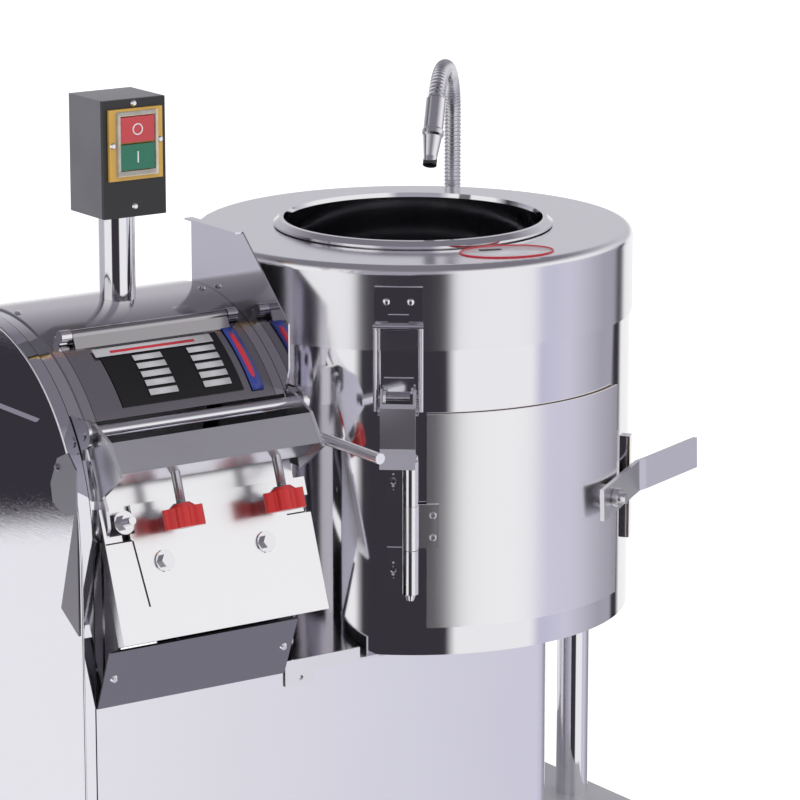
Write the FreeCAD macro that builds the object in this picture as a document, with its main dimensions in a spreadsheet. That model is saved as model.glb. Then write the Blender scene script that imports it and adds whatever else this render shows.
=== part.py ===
import FreeCAD, Part
import Sketcher
import math
import os

# Electric potato peeler with a slicing head, in millimetres.
# The origin is on the floor under the middle of the machine, +Z is up and -Y is the front.
# Places are counted from the peeling drum's vertical axis.

V = FreeCAD.Vector
UP = V(0, 0, 1)
RIGHT = V(1, 0, 0)
BACK = V(0, 1, 0)

doc = FreeCAD.newDocument("potato_peeler")
sheet = doc.addObject("Spreadsheet::Sheet", "Sizes")
parts = []
screws_on_frame = []


class Size:
    """A length or an angle: its value, and the formula that the document keeps for it."""

    def __init__(self, value, text):
        self.value = float(value)
        self.text = text

    def __add__(self, other):
        other = as_size(other)
        return Size(self.value + other.value, f"({self.text} + {other.text})")

    def __radd__(self, other):
        return as_size(other) + self

    def __sub__(self, other):
        other = as_size(other)
        return Size(self.value - other.value, f"({self.text} - {other.text})")

    def __rsub__(self, other):
        return as_size(other) - self

    def __mul__(self, other):
        other = as_size(other)
        return Size(self.value * other.value, f"({self.text} * {other.text})")

    def __rmul__(self, other):
        return as_size(other) * self

    def __truediv__(self, other):
        other = as_size(other)
        return Size(self.value / other.value, f"({self.text} / {other.text})")

    def __neg__(self):
        return 0 - self


def as_size(number):
    if isinstance(number, Size):
        return number
    return Size(number, f"({float(number)!r})")


def cosine(angle):
    angle = as_size(angle)
    return Size(math.cos(math.radians(angle.value)), f"cos({angle.text})")


def sine(angle):
    angle = as_size(angle)
    return Size(math.sin(math.radians(angle.value)), f"sin({angle.text})")


def root(number):
    return Size(math.sqrt(number.value), f"sqrt({number.text})")


def size(name, value):
    """Write one driving dimension into the sheet and hand back its Size."""
    size.row += 1
    cell = f"B{size.row}"
    sheet.set(f"A{size.row}", name)
    sheet.set(cell, str(value))
    sheet.setAlias(cell, name)
    return Size(value, f"Sizes.{name}")


size.row = 0

# Sheet metal, running gaps and the machine's main places
sheet_wall = size("sheet_wall", 1.5)
skin_gap = size("skin_gap", 0.3)
shaft_gap = size("shaft_gap", 0.05)
drum_x = size("drum_x", 104)
drum_y = size("drum_y", 18.5)
foot_height = size("foot_height", 25)
foot_radius = size("foot_radius", 20)
tray_height = size("tray_height", 40)
tray_right = size("tray_right", 176)
tray_overhang = size("tray_overhang", 20)
cabinet_left = size("cabinet_left", 433)
cabinet_right = size("cabinet_right", 55)
cabinet_front = size("cabinet_front", 145)
cabinet_back = size("cabinet_back", 200)
cabinet_height = size("cabinet_height", 205)
corner_radius = size("corner_radius", 16)

# Peeling drum, lid and door
drum_radius = size("drum_radius", 198)
drum_height = size("drum_height", 275)
lid_radius = size("lid_radius", 200)
lid_height = size("lid_height", 75)
mouth_radius = size("mouth_radius", 119)
rim_radius = size("rim_radius", 4)
spigot_height = size("spigot_height", 14)
door_half_angle = size("door_half_angle", 31)
door_bottom = size("door_bottom", 26)
door_height = size("door_height", 193)
door_wall = size("door_wall", 2)
door_lap = size("door_lap", 2)
gasket_width = size("gasket_width", 4)
gasket_wall = size("gasket_wall", 1.7)
liner_wall = size("liner_wall", 4)
hinge_angle = size("hinge_angle", 35)
hinge_pin_radius = size("hinge_pin_radius", 3)
hinge_knuckle_radius = size("hinge_knuckle_radius", 7)
hinge_height = size("hinge_height", 120)
hinge_rise = size("hinge_rise", 59)
latch_angle = size("latch_angle", -38)
handle_angle = size("handle_angle", 33)
handle_seat = size("handle_seat", 204)

# Slicing head
arch_end = size("arch_end", 212)
arch_axis_rise = size("arch_axis_rise", 142)
band_width = size("band_width", 14)
pan_depth = size("pan_depth", 9)
cover_top_angle = size("cover_top_angle", 62)
cover_bottom_angle = size("cover_bottom_angle", 35)
cover_width = size("cover_width", 178)
plate_tilt = size("plate_tilt", 19.5)
plate_height = size("plate_height", 116)
plate_wall = size("plate_wall", 3)
plate_top_drop = size("plate_top_drop", 176)
plate_top_reach = size("plate_top_reach", 146)
plate_left = size("plate_left", 418)
plate_right = size("plate_right", 214)
cheek_right = size("cheek_right", 240)
clamp_rod_radius = size("clamp_rod_radius", 5.5)
clamp_rod_reach = size("clamp_rod_reach", 129)
clamp_rod_drop = size("clamp_rod_drop", 114)
beam_tilt = size("beam_tilt", 38)
beam_face = size("beam_face", 29)
arm_wall = size("arm_wall", 3)
screw_radius = size("screw_radius", 4)
knob_radius = size("knob_radius", 19)
knob_height = size("knob_height", 17)
rotor_radius = size("rotor_radius", 118)
rotor_shaft_radius = size("rotor_shaft_radius", 12.5)

# Drives
disc_radius = size("disc_radius", 188)
disc_wall = size("disc_wall", 10)
disc_shaft_radius = size("disc_shaft_radius", 15)
disc_pulley_radius = size("disc_pulley_radius", 48)
motor_radius = size("motor_radius", 62)
motor_shaft_radius = size("motor_shaft_radius", 9.5)
motor_pulley_radius = size("motor_pulley_radius", 22)
belt_width = size("belt_width", 13)
bearing_wall = size("bearing_wall", 12)

# Switch, column and hose
post_radius = size("post_radius", 16)
box_width = size("box_width", 62)
box_height = size("box_height", 103)
box_depth = size("box_depth", 54)
button_travel = size("button_travel", 3)
column_radius = size("column_radius", 15)
hose_radius = size("hose_radius", 8)
hose_bore = size("hose_bore", 5)
hose_rib = size("hose_rib", 0.9)
hose_pitch = size("hose_pitch", 3.6)
hose_bend = size("hose_bend", 50)

# Levels, counted up from the floor
tray_top = foot_height + tray_height
deck_top = tray_top + cabinet_height
seam_z = deck_top + drum_height
lid_top = seam_z + lid_height
arch_z = deck_top + arch_axis_rise

# Walls of the cabinet and of the arch
left_x = drum_x - cabinet_left
right_x = drum_x + cabinet_right
front_y = drum_y - cabinet_front
back_y = drum_y + cabinet_back
arch_y = drum_y + (cabinet_back - cabinet_front) / 2
arch_radius = (cabinet_back + cabinet_front) / 2
end_x = drum_x - arch_end
band_x = left_x + pan_depth
skin_x = band_x + band_width


def bind(thing, prop, value):
    thing.setExpression(prop, as_size(value).text)


def put(thing, corner, rotation=None):
    """Place a thing, its three coordinates bound to the sheet."""
    corner = [as_size(c) for c in corner]
    turn = rotation if rotation else FreeCAD.Rotation()
    thing.Placement = FreeCAD.Placement(V(*[c.value for c in corner]), turn)
    for axis, coordinate in zip("xyz", corner):
        bind(thing, f"Placement.Base.{axis}", coordinate)
    return thing


def block(name, corner, lengths):
    thing = doc.addObject("Part::Box", name)
    for prop, length in zip(("Length", "Width", "Height"), lengths):
        bind(thing, prop, length)
    return put(thing, corner)


def rod(name, radius, length, base, direction=UP, start=None, sweep=None):
    """A cylinder along a direction, or the sector of one about +Z."""
    thing = doc.addObject("Part::Cylinder", name)
    bind(thing, "Radius", radius)
    bind(thing, "Height", length)
    turn = FreeCAD.Rotation(UP, direction)
    if start is not None:
        turn = FreeCAD.Rotation(UP, as_size(start).value)
        bind(thing, "Angle", sweep)
    put(thing, base, turn)
    if isinstance(start, Size):
        bind(thing, "Placement.Rotation.Angle", start)
    return thing


def taper(name, low_radius, high_radius, length, base, direction=UP):
    thing = doc.addObject("Part::Cone", name)
    bind(thing, "Radius1", low_radius)
    bind(thing, "Radius2", high_radius)
    bind(thing, "Height", length)
    return put(thing, base, FreeCAD.Rotation(UP, direction))


def cut(name, base, *tools):
    for index, tool in enumerate(tools):
        step = doc.addObject("Part::Cut", f"{name}_cut_{index}")
        step.Base = base
        step.Tool = tool
        base = step
    return base


def fuse(name, *shapes):
    thing = doc.addObject("Part::MultiFuse", name)
    thing.Shapes = list(shapes)
    return thing


def common(name, *shapes):
    thing = doc.addObject("Part::MultiCommon", name)
    thing.Shapes = list(shapes)
    return thing


def group(name, *shapes):
    thing = doc.addObject("Part::Compound", name)
    thing.Links = list(shapes)
    return thing


def tube(name, outer, inner, length, base, direction=UP, start=None, sweep=None):
    shell = rod(name + "_outer", outer, length, base, direction, start, sweep)
    bore = rod(name + "_bore", inner, length, base, direction)
    return cut(name, shell, bore)


def plane_of(body, role):
    return [o for o in body.Origin.OriginFeatures if o.Role == role][0]


def outline(body, name, role, start, steps):
    """A closed sketch of lines (x, y) and arcs (x, y, centre x, centre y, radius, ccw)."""
    sketch = body.newObject("Sketcher::SketchObject", name)
    sketch.AttachmentSupport = [(plane_of(body, role), "")]
    sketch.MapMode = "FlatFace"
    here = [as_size(c) for c in start]
    places = [here]
    heads = []
    tails = []
    for index, step in enumerate(steps):
        there = [as_size(c) for c in step[:2]]
        if index == len(steps) - 1:
            there = places[0]
        head = V(here[0].value, here[1].value, 0)
        tail = V(there[0].value, there[1].value, 0)
        if len(step) == 2:
            sketch.addGeometry(Part.LineSegment(head, tail), False)
            heads.append(1)
            tails.append(2)
        else:
            centre = V(as_size(step[2]).value, as_size(step[3]).value, 0)
            first, last = (head, tail) if step[5] else (tail, head)
            angles = [math.atan2(p.y - centre.y, p.x - centre.x) for p in (first, last)]
            circle = Part.Circle(centre, UP, as_size(step[4]).value)
            sketch.addGeometry(Part.ArcOfCircle(circle, angles[0], angles[1]), False)
            heads.append(1 if step[5] else 2)
            tails.append(2 if step[5] else 1)
        places.append(there)
        here = there
    count = len(steps)
    for index in range(count):
        follow = (index + 1) % count
        joint = Sketcher.Constraint("Coincident", index, tails[index], follow, heads[follow])
        sketch.addConstraint(joint)
    for index in range(count):
        for kind, coordinate in zip(("DistanceX", "DistanceY"), places[index]):
            gap = Sketcher.Constraint(kind, -1, 1, index, heads[index], coordinate.value)
            number = sketch.addConstraint(gap)
            sketch.setExpression(f"Constraints[{number}]", coordinate.text)
        if len(steps[index]) > 2:
            chord = [abs(b.value - a.value) for a, b in zip(places[index], places[index + 1])]
            which = 1 if chord[0] > chord[1] else 0
            kind = ("DistanceX", "DistanceY")[which]
            middle = as_size(steps[index][2 + which])
            number = sketch.addConstraint(Sketcher.Constraint(kind, -1, 1, index, 3, middle.value))
            sketch.setExpression(f"Constraints[{number}]", middle.text)
    return sketch


def pad(name, role, start, steps, length, shift):
    """A body padded from an outline, moved to its place on the machine."""
    body = doc.addObject("PartDesign::Body", name + "_body")
    sketch = outline(body, name + "_outline", role, start, steps)
    feature = body.newObject("PartDesign::Pad", name + "_pad")
    feature.Profile = sketch
    bind(feature, "Length", length)
    return put(body, shift)


def turned(name, start, steps, shift):
    """A body revolved about its own vertical axis from an outline of (radius, height)."""
    body = doc.addObject("PartDesign::Body", name + "_body")
    sketch = outline(body, name + "_outline", "XZ_Plane", start, steps)
    feature = body.newObject("PartDesign::Revolution", name + "_turn")
    feature.Profile = sketch
    feature.ReferenceAxis = (sketch, ["V_Axis"])
    feature.Angle = 360
    return put(body, shift)


def part(node, thing):
    """Name a finished sub-part after its node."""
    thing.Label = node
    parts.append(thing)
    return thing


def round_drum(radius, angle, height=0):
    """A point round the drum's axis; the angle is counted from the front, to the right."""
    return (
        drum_x + as_size(radius) * sine(angle),
        drum_y - as_size(radius) * cosine(angle),
        deck_top + height,
    )


def around(name, shapes, angle):
    """Turn a set built at the front of the drum to its own angle."""
    thing = group(name, *shapes) if len(shapes) > 1 else shapes[0]
    spot = V(drum_x.value, drum_y.value, 0)
    turn = FreeCAD.Rotation(UP, as_size(angle).value)
    thing.Placement = FreeCAD.Placement(spot - turn.multVec(spot), turn).multiply(thing.Placement)
    return thing


def bolt(name, radius, length, head_radius, head_height, base, direction):
    """A round-headed fastener: its head outside the base point, its shank behind it."""
    shank = rod(name + "_shank", radius, length + 0.5, base, direction * -1)
    head = taper(name + "_head", head_radius, head_radius * 0.6, head_height, base, direction)
    return fuse(name, shank, head)


# Base tray and feet
def base_tray():
    left = left_x - 3
    front = front_y - tray_overhang
    width = cabinet_left + tray_right + 3
    depth = cabinet_front + cabinet_back + 2 * tray_overhang - 15
    outer = block("tray_outer", (left, front, foot_height), (width, depth, tray_height))
    inner_corner = (left + sheet_wall, front + sheet_wall, foot_height - 1)
    inner_lengths = (width - 2 * sheet_wall, depth - 2 * sheet_wall, tray_height + 1 - sheet_wall)
    inner = block("tray_inner", inner_corner, inner_lengths)
    rails = []
    for index, place in enumerate((0.06, 0.86)):
        corner = (left + width * place, front + sheet_wall, foot_height)
        lengths = (width * 0.08, depth - 2 * sheet_wall, sheet_wall * 2)
        rails.append(block(f"tray_rail_{index}", corner, lengths))
    part("base_tray", fuse("base_tray", cut("tray_shell", outer, inner), *rails))
    feet = []
    for across in (0.1, 0.9):
        for along in (0.12, 0.88):
            spot = (left + width * across, front + depth * along, 0)
            foot = taper(f"foot_{across}_{along}", foot_radius - 3, foot_radius, foot_height, spot)
            feet.append(foot)
    part("rubber_feet", group("rubber_feet", *feet))


# Cabinet under the drum and the slicing head
def u_outline(wall):
    """The bent sheet's U, open to the left, drawn anticlockwise from its front left end."""
    r = corner_radius
    front = front_y
    back = back_y
    right = right_x
    left = band_x + skin_gap
    inner = r - wall
    return (left, front), [
        (right - r, front),
        (right, front + r, right - r, front + r, r, True),
        (right, back - r),
        (right - r, back, right - r, back - r, r, True),
        (left, back),
        (left, back - wall),
        (right - r, back - wall),
        (right - wall, back - r, right - r, back - r, inner, False),
        (right - wall, front + r),
        (right - r, front + wall, right - r, front + r, inner, False),
        (left, front + wall),
        (left, front),
    ]


def cabinet():
    start, steps = u_outline(sheet_wall)
    wrap = pad("cabinet_wrap", "XY_Plane", start, steps, cabinet_height - sheet_wall, (0, 0, tray_top))
    strip_width = cabinet_left - pan_depth - 236
    strip = block(
        "upstand",
        (band_x + skin_gap, front_y, deck_top - sheet_wall - 1),
        (strip_width, sheet_wall, 16),
    )
    window = block(
        "service_window",
        (left_x + 60, back_y - sheet_wall - 1, tray_top + 25),
        (240, sheet_wall + 2, cabinet_height - 60),
    )
    gland_hole = rod(
        "gland_hole",
        10,
        sheet_wall + 2,
        (right_x - 60, back_y - sheet_wall - 1, tray_top + 50),
        BACK,
    )
    shell = cut("cabinet_shell", fuse("wrap_and_strip", wrap, strip), window, gland_hole)
    part("cabinet_shell", shell)

    cover_corner = (left_x + 50, back_y + 0, tray_top + 15)
    cover = block("service_plate", cover_corner, (260, sheet_wall, cabinet_height - 40))
    slots = []
    for index in range(9):
        corner = (left_x + 85, back_y - 1, tray_top + 40 + index * 13)
        slots.append(block(f"louvre_{index}", corner, (190, sheet_wall + 2, 5)))
    part("service_cover", cut("service_cover", cover, *slots))
    screws = []
    for across in (57, 303):
        for rise in (22, cabinet_height - 32):
            spot = (left_x + across, back_y + sheet_wall, tray_top + rise)
            screws.append(bolt(f"cover_screw_{across}_{as_size(rise).value}", 2, 4, 4, 2, spot, BACK))
    screws_on_frame.extend(screws)

    gland = fuse(
        "gland_all",
        rod("gland_body", 9.9, 14, (right_x - 60, back_y - 8, tray_top + 50), BACK),
        rod("gland_flange", 14, 5, (right_x - 60, back_y, tray_top + 50), BACK),
        taper("gland_nose", 11, 8, 16, (right_x - 60, back_y + 5, tray_top + 50), BACK),
    )
    throat = rod("gland_throat", 4, 50, (right_x - 60, back_y - 10, tray_top + 50), BACK)
    part("cable_gland", cut("cable_gland", gland, throat))

    plate_corner = (band_x + skin_gap, front_y + sheet_wall, deck_top - sheet_wall)
    plate_lengths = (
        cabinet_left + cabinet_right - pan_depth - skin_gap - corner_radius,
        cabinet_front + cabinet_back - 2 * sheet_wall,
        sheet_wall,
    )
    plate = block("deck_plate", plate_corner, plate_lengths)
    hub_hole = rod("deck_hub_hole", 40, 10, (drum_x, drum_y, deck_top - 5))
    belt_hole = block("deck_belt_hole", (band_x, arch_y - 45, deck_top - 5), (band_width, 90, 10))
    rotor_hole = block("deck_rotor_hole", (skin_x + 5, arch_y - 90, deck_top - 5), (150, 150, 10))
    part("deck", cut("deck", plate, hub_hole, belt_hole, rotor_hole))

    ledge = fuse(
        "ledge_all",
        block("ledge_face", (drum_x - 235, front_y - 2, deck_top - 2), (78, 2, 13)),
        block("ledge_foot", (drum_x - 235, front_y - 2, deck_top - 12), (30, 2, 11)),
    )
    bolt_hole = rod("ledge_hole", 2.5, 10, (drum_x - 219, front_y - 5, deck_top - 6), BACK)
    return cut("ledge_bracket_bored", ledge, bolt_hole)


def arch_outline(radius, wall, bottom):
    """The arch's thin section: straight legs up to the axis, then half a turn."""
    inner = radius - wall
    front = arch_y - radius
    back = arch_y + radius
    return (front, bottom), [
        (front + wall, bottom),
        (front + wall, arch_z),
        (back - wall, arch_z, arch_y, arch_z, inner, False),
        (back - wall, bottom),
        (back, bottom),
        (back, arch_z),
        (front, arch_z, arch_y, arch_z, radius, True),
        (front, bottom),
    ]


def arch_plate(name, radius, bottom, length, x):
    front = arch_y - radius
    back = arch_y + radius
    steps = [
        (back, bottom),
        (back, arch_z),
        (front, arch_z, arch_y, arch_z, radius, True),
        (front, bottom),
    ]
    return pad(name, "YZ_Plane", (front, bottom), steps, length, (x, 0, 0))


def arch():
    start, steps = arch_outline(arch_radius, sheet_wall, tray_top)
    flange = pad("pan_flange", "YZ_Plane", start, steps, pan_depth, (left_x, 0, 0))
    face = arch_plate("pan_face", arch_radius - 1, tray_top, sheet_wall, left_x)
    bead_start, bead_steps = arch_outline(arch_radius, 4, tray_top)
    bead = pad("pan_bead", "YZ_Plane", bead_start, bead_steps, 2.5, (left_x - 2, 0, 0))
    slot_z = arch_z + 109
    recess_core = block("recess_core", (left_x - 1, arch_y - 92, slot_z - 15), (20, 184, 30))
    recess_ends = []
    for side in (-92, 92):
        recess_ends.append(rod(f"recess_end_{side}", 15, 20, (left_x - 1, arch_y + side, slot_z), RIGHT))
    recess = fuse("recess_cut", recess_core, *recess_ends)
    inner_core = block("dish_core", (left_x, arch_y - 92, slot_z - 18), (6, 184, 36))
    inner_ends = []
    for side in (-92, 92):
        inner_ends.append(rod(f"dish_end_{side}", 18, 6, (left_x, arch_y + side, slot_z), RIGHT))
    dish = fuse("dish_outer", inner_core, *inner_ends)
    hollow_core = block("hollow_core", (left_x - 1, arch_y - 92, slot_z - 15), (5.5, 184, 30))
    hollow_ends = []
    for side in (-92, 92):
        hollow_ends.append(rod(f"hollow_end_{side}", 15, 5.5, (left_x - 1, arch_y + side, slot_z), RIGHT))
    hollow = fuse("hollow", hollow_core, *hollow_ends)
    pan = cut("pan_open", fuse("pan", flange, face, bead), recess)
    part("left_end_panel", fuse("left_end_panel", pan, cut("dish", dish, hollow)))

    start, steps = arch_outline(arch_radius - sheet_wall - skin_gap, sheet_wall, deck_top)
    band = pad("band", "YZ_Plane", start, steps, band_width - skin_gap, (band_x + skin_gap, 0, 0))
    wall_x = skin_x - sheet_wall
    wall = arch_plate("bearing_wall", arch_radius - 2.5, deck_top, sheet_wall, wall_x)
    hole = rod("bearing_wall_hole", rotor_shaft_radius + 2, 20, (skin_x - 5, arch_y, arch_z), RIGHT)
    part("arch_band", fuse("band_and_wall", band, cut("bearing_wall", wall, hole)))

    start, steps = arch_outline(arch_radius, sheet_wall, deck_top)
    length = cabinet_left - arch_end - pan_depth - band_width - sheet_wall
    skin = pad("skin", "YZ_Plane", start, steps, length, (skin_x, 0, 0))
    low = block(
        "skin_front_cut",
        (skin_x - 1, front_y - 1, deck_top - 1),
        (length + 2, 40, arch_axis_rise + arch_radius * sine(cover_bottom_angle) + 1),
    )
    cover_window = cover_sector("skin_window", arch_radius + 5, 30, cover_width + 1, 1)
    skin_open = cut("skin_open", skin, low, cover_window)

    end = arch_plate("arch_right_wall", arch_radius, deck_top, sheet_wall, end_x - sheet_wall)
    bore = rod("end_bore", rotor_shaft_radius + 2, 20, (end_x - 10, arch_y, arch_z), RIGHT)
    front_cut = block(
        "end_front_cut",
        (end_x - 5, front_y - 1, deck_top - 1),
        (10, 22, arch_axis_rise + 40),
    )
    part("arch_skin", fuse("skin_and_end", skin_open, cut("end_wall", end, bore, front_cut)))

    screws = []
    for index, x in enumerate((skin_x + 5, end_x - 8)):
        for angle in (84, 120):
            reach = arch_radius
            spot = (x, arch_y - reach * cosine(angle), arch_z + reach * sine(angle))
            out = V(0, -math.cos(math.radians(angle)), math.sin(math.radians(angle)))
            screws.append(bolt(f"arch_screw_{index}_{angle}", 2, 3, 3.6, 1.8, spot, out))
    screws_on_frame.extend(screws)


def cover_sector(name, radius, depth, width, slack):
    """The wedge of the arch that the hinged cover fills."""
    top = cover_top_angle + slack
    low = cover_bottom_angle - slack
    inner = radius - depth
    centre = (arch_y, arch_z)
    start = (arch_y - inner * cosine(low), arch_z + inner * sine(low))
    steps = [
        (arch_y - inner * cosine(top), arch_z + inner * sine(top), *centre, inner, False),
        (arch_y - radius * cosine(top), arch_z + radius * sine(top)),
        (arch_y - radius * cosine(low), arch_z + radius * sine(low), *centre, radius, True),
        start,
    ]
    x = (skin_x + end_x) / 2 - as_size(width) / 2
    return pad(name, "YZ_Plane", start, steps, width, (x, 0, 0))


def front_cover():
    skin = cover_sector("cover_skin", arch_radius, sheet_wall, cover_width, 0)
    middle = (skin_x + end_x) / 2
    plate = cover_sector("plate_blank", arch_radius + 1.1, 0.8, 120, -3)
    part("rating_plate", plate)
    hinge_reach = arch_radius + 5.5
    place = (arch_y - hinge_reach * cosine(cover_top_angle + 2), arch_z + hinge_reach * sine(cover_top_angle + 2))
    long = cover_width - 24
    pin = rod("cover_pin", 2.5, cover_width - 2, (middle - cover_width / 2 + 1, *place), RIGHT)
    knuckle = tube("cover_knuckle", 4.8, 2.55, long, (middle - long / 2, *place), RIGHT)
    leaf_reach = arch_radius - 0.5
    leaf_top = cover_top_angle - 0.5
    leaf_low = leaf_top - 1.6
    leaf_start = (arch_y - leaf_reach * cosine(leaf_low), arch_z + leaf_reach * sine(leaf_low))
    leaf = pad(
        "cover_leaf",
        "YZ_Plane",
        leaf_start,
        [
            (arch_y - leaf_reach * cosine(leaf_top), arch_z + leaf_reach * sine(leaf_top)),
            (place[0] - 3.2, place[1] + 2),
            (place[0] - 4.5, place[1]),
            (leaf_start[0] - 1, leaf_start[1] + 1),
            leaf_start,
        ],
        long,
        (middle - long / 2, 0, 0),
    )
    leaf_bore = rod("leaf_bore", 2.55, long + 2, (middle - long / 2 - 1, *place), RIGHT)
    hinged = cut("cover_leaf_bored", fuse("knuckle_leaf", knuckle, leaf), leaf_bore)
    part("front_cover", fuse("front_cover_all", skin, hinged))
    lugs = []
    for index, x in enumerate((middle - cover_width / 2 + 1, middle + cover_width / 2 - 11)):
        lug = fuse(
            f"lug_{index}",
            rod(f"lug_eye_{index}", 5.5, 10, (x, *place), RIGHT),
            block(f"lug_foot_{index}", (x, place[0] - 1, place[1] - 9), (10, 10, 8)),
        )
        core = rod(f"lug_core_{index}", arch_radius + 0.05, 12, (x - 1, arch_y, arch_z), RIGHT)
        lugs.append(cut(f"cover_lug_{index}", lug, core))
    part("cover_hinge_rod", fuse("cover_rod_all", pin, *lugs))


def splash_guard():
    x = end_x + skin_gap
    start = (drum_y + 40, lid_top - 120)
    steps = [
        (drum_y + 40, lid_top + 22),
        (drum_y - 45, lid_top + 22),
        (drum_y - 119, lid_top - 47),
        (drum_y - 119, lid_top - 87),
        (drum_y - 108, lid_top - 120),
        start,
    ]
    sheet_part = pad("splash_sheet", "YZ_Plane", start, steps, sheet_wall, (x, 0, 0))
    lip = block("splash_lip", (x - 7, drum_y - 45, lid_top + 22 - sheet_wall), (8, 85, sheet_wall))
    part("splash_guard", fuse("splash_guard", sheet_part, lip))


# Clamp rod, beam, lever and screws, in the frame of the tilted blade plate
rod_y = drum_y - clamp_rod_reach
rod_z = lid_top - clamp_rod_drop


def clamp():
    left = drum_x - plate_left - 6
    length = plate_left + 6 - arch_end + 12
    pieces = [rod("clamp_rod_bar", clamp_rod_radius, length, (left, rod_y, rod_z), RIGHT)]
    guard_face = end_x + skin_gap + sheet_wall
    for index, (x, reach) in enumerate(((left + 1, arch_radius - 1), (guard_face, 0))):
        wide = 3 + 1.2 * index
        disc = rod(f"bracket_disc_{index}", 13, wide, (x, rod_y, rod_z), RIGHT)
        foot = block(f"bracket_foot_{index}", (x, rod_y, rod_z - 22), (wide, 26, 34))
        bracket = fuse(f"bracket_raw_{index}", disc, foot)
        if index == 0:
            core = rod("bracket_core", reach, 5, (x - 1, arch_y, arch_z), RIGHT)
            bracket = cut("bracket_left", bracket, core)
        pieces.append(bracket)
    part("clamp_rod", fuse("clamp_rod_all", *pieces))

    beam_left = drum_x - plate_left + 4
    beam_right = drum_x - plate_right - 4
    top_y = rod_y - 32
    top_z = rod_z - 2
    low_y = top_y - beam_face * sine(beam_tilt)
    low_z = top_z - beam_face * cosine(beam_tilt)
    into_y = 14 * cosine(beam_tilt)
    into_z = -14 * sine(beam_tilt)
    lip_y = 24 * cosine(beam_tilt)
    lip_z = -24 * sine(beam_tilt)
    wall_y = sheet_wall * cosine(beam_tilt)
    wall_z = -sheet_wall * sine(beam_tilt)
    down_y = -sheet_wall * sine(beam_tilt)
    down_z = -sheet_wall * cosine(beam_tilt)
    start = (top_y, top_z)
    steps = [
        (low_y, low_z),
        (low_y + lip_y, low_z + lip_z),
        (low_y + lip_y - down_y, low_z + lip_z - down_z),
        (low_y + wall_y - down_y, low_z + wall_z - down_z),
        (top_y + wall_y + down_y, top_z + wall_z + down_z),
        (top_y + into_y + down_y, top_z + into_z + down_z),
        (top_y + into_y, top_z + into_z),
        start,
    ]
    channel = pad("beam_channel", "YZ_Plane", start, steps, beam_right - beam_left, (beam_left, 0, 0))
    arms = []
    for index, x in enumerate((beam_left - arm_wall, beam_right)):
        arm_start = (rod_y + 4, rod_z + 11)
        arm_steps = [
            (rod_y - 8, rod_z + 10),
            (top_y - 1, top_z + 1),
            (low_y - 2, low_z - 3),
            (rod_y - 16, rod_z - 55),
            (rod_y - 12, rod_z - 40),
            (rod_y + 3, rod_z - 10),
            arm_start,
        ]
        arms.append(pad(f"arm_{index}", "YZ_Plane", arm_start, arm_steps, arm_wall, (x, 0, 0)))
    bore = rod(
        "arm_bore",
        clamp_rod_radius + shaft_gap,
        beam_right - beam_left + 10,
        (beam_left - 5, rod_y, rod_z),
        RIGHT,
    )
    holes = []
    for index, x in enumerate(screw_places()):
        hole = rod(f"beam_hole_{index}", screw_radius + shaft_gap, 14, screw_base(x, 9), SCREW_DOWN)
        holes.append(hole)
    beam = cut("clamp_beam_bored", fuse("beam_and_arms", channel, *arms), bore, *holes)

    lever_y = rod_y - 40
    lever_z = rod_z - 24
    lever_x = beam_right + arm_wall + 5
    lever = fuse(
        "lever_all",
        rod("lever_bar", 4.75, 90, (lever_x, lever_y + 1, lever_z), BACK * -1),
        rod("lever_root", 3.5, 6, (beam_right + arm_wall - 1, lever_y - 6, lever_z), RIGHT),
    )
    part("clamp_beam", fuse("clamp_beam_all", beam, lever))

    for side, x in zip(("left", "right"), screw_places()):
        knob_and_screw(side, x)


SCREW_ANGLE = plate_tilt.value
SCREW_DOWN = V(0, -math.sin(math.radians(SCREW_ANGLE)), -math.cos(math.radians(SCREW_ANGLE)))


def screw_places():
    return (drum_x - 355, drum_x - 255)


def screw_base(x, up):
    """A point on a screw's axis, a distance up along it from the beam's lower lip."""
    y = rod_y - 38 + up * sine(plate_tilt)
    z = rod_z - 37 + up * cosine(plate_tilt)
    return (x, y, z)


def knob_and_screw(side, x):
    stem = rod(f"stem_{side}", screw_radius, 40, screw_base(x, 9), SCREW_DOWN)
    core = rod(f"knob_core_{side}", knob_radius - 4, knob_height, screw_base(x, -27), SCREW_DOWN)
    neck = taper(f"knob_neck_{side}", 7, knob_radius - 6, 5, screw_base(x, -23), SCREW_DOWN)
    lobes = []
    across = RIGHT
    along = SCREW_DOWN.cross(RIGHT)
    count = 6
    for index in range(count):
        angle = 2 * math.pi * index / count
        out = across * math.cos(angle) + along * math.sin(angle)
        base = screw_base(x, -27)
        spot = [c + (knob_radius - 6) * part_of for c, part_of in zip(base, out)]
        lobes.append(rod(f"lobe_{side}_{index}", 6, knob_height, spot, SCREW_DOWN))
    knob = fuse(f"knob_{side}_all", core, neck, *lobes)
    part(f"knob_{side}", fuse(f"knob_and_screw_{side}", stem, knob))
    pad_disc = rod(f"pad_{side}", 6.5, 3, screw_base(x, 12), SCREW_DOWN)
    part(f"pressure_pad_{side}", pad_disc)


# Blade plate, knife and guard
def tilted(along, out):
    """A point on the blade plate's section: along it from the top, and out from its front."""
    y = drum_y - plate_top_reach - along * sine(plate_tilt) - out * cosine(plate_tilt)
    z = lid_top - plate_top_drop - along * cosine(plate_tilt) + out * sine(plate_tilt)
    return y, z


def slab(name, along_from, along_to, back, front, x, length):
    start = tilted(along_from, back)
    steps = [
        tilted(along_from, front),
        tilted(along_to, front),
        tilted(along_to, back),
        start,
    ]
    return pad(name, "YZ_Plane", start, steps, length, (x, 0, 0))


OUTWARD = V(0, -math.cos(math.radians(SCREW_ANGLE)), math.sin(math.radians(SCREW_ANGLE)))


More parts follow.
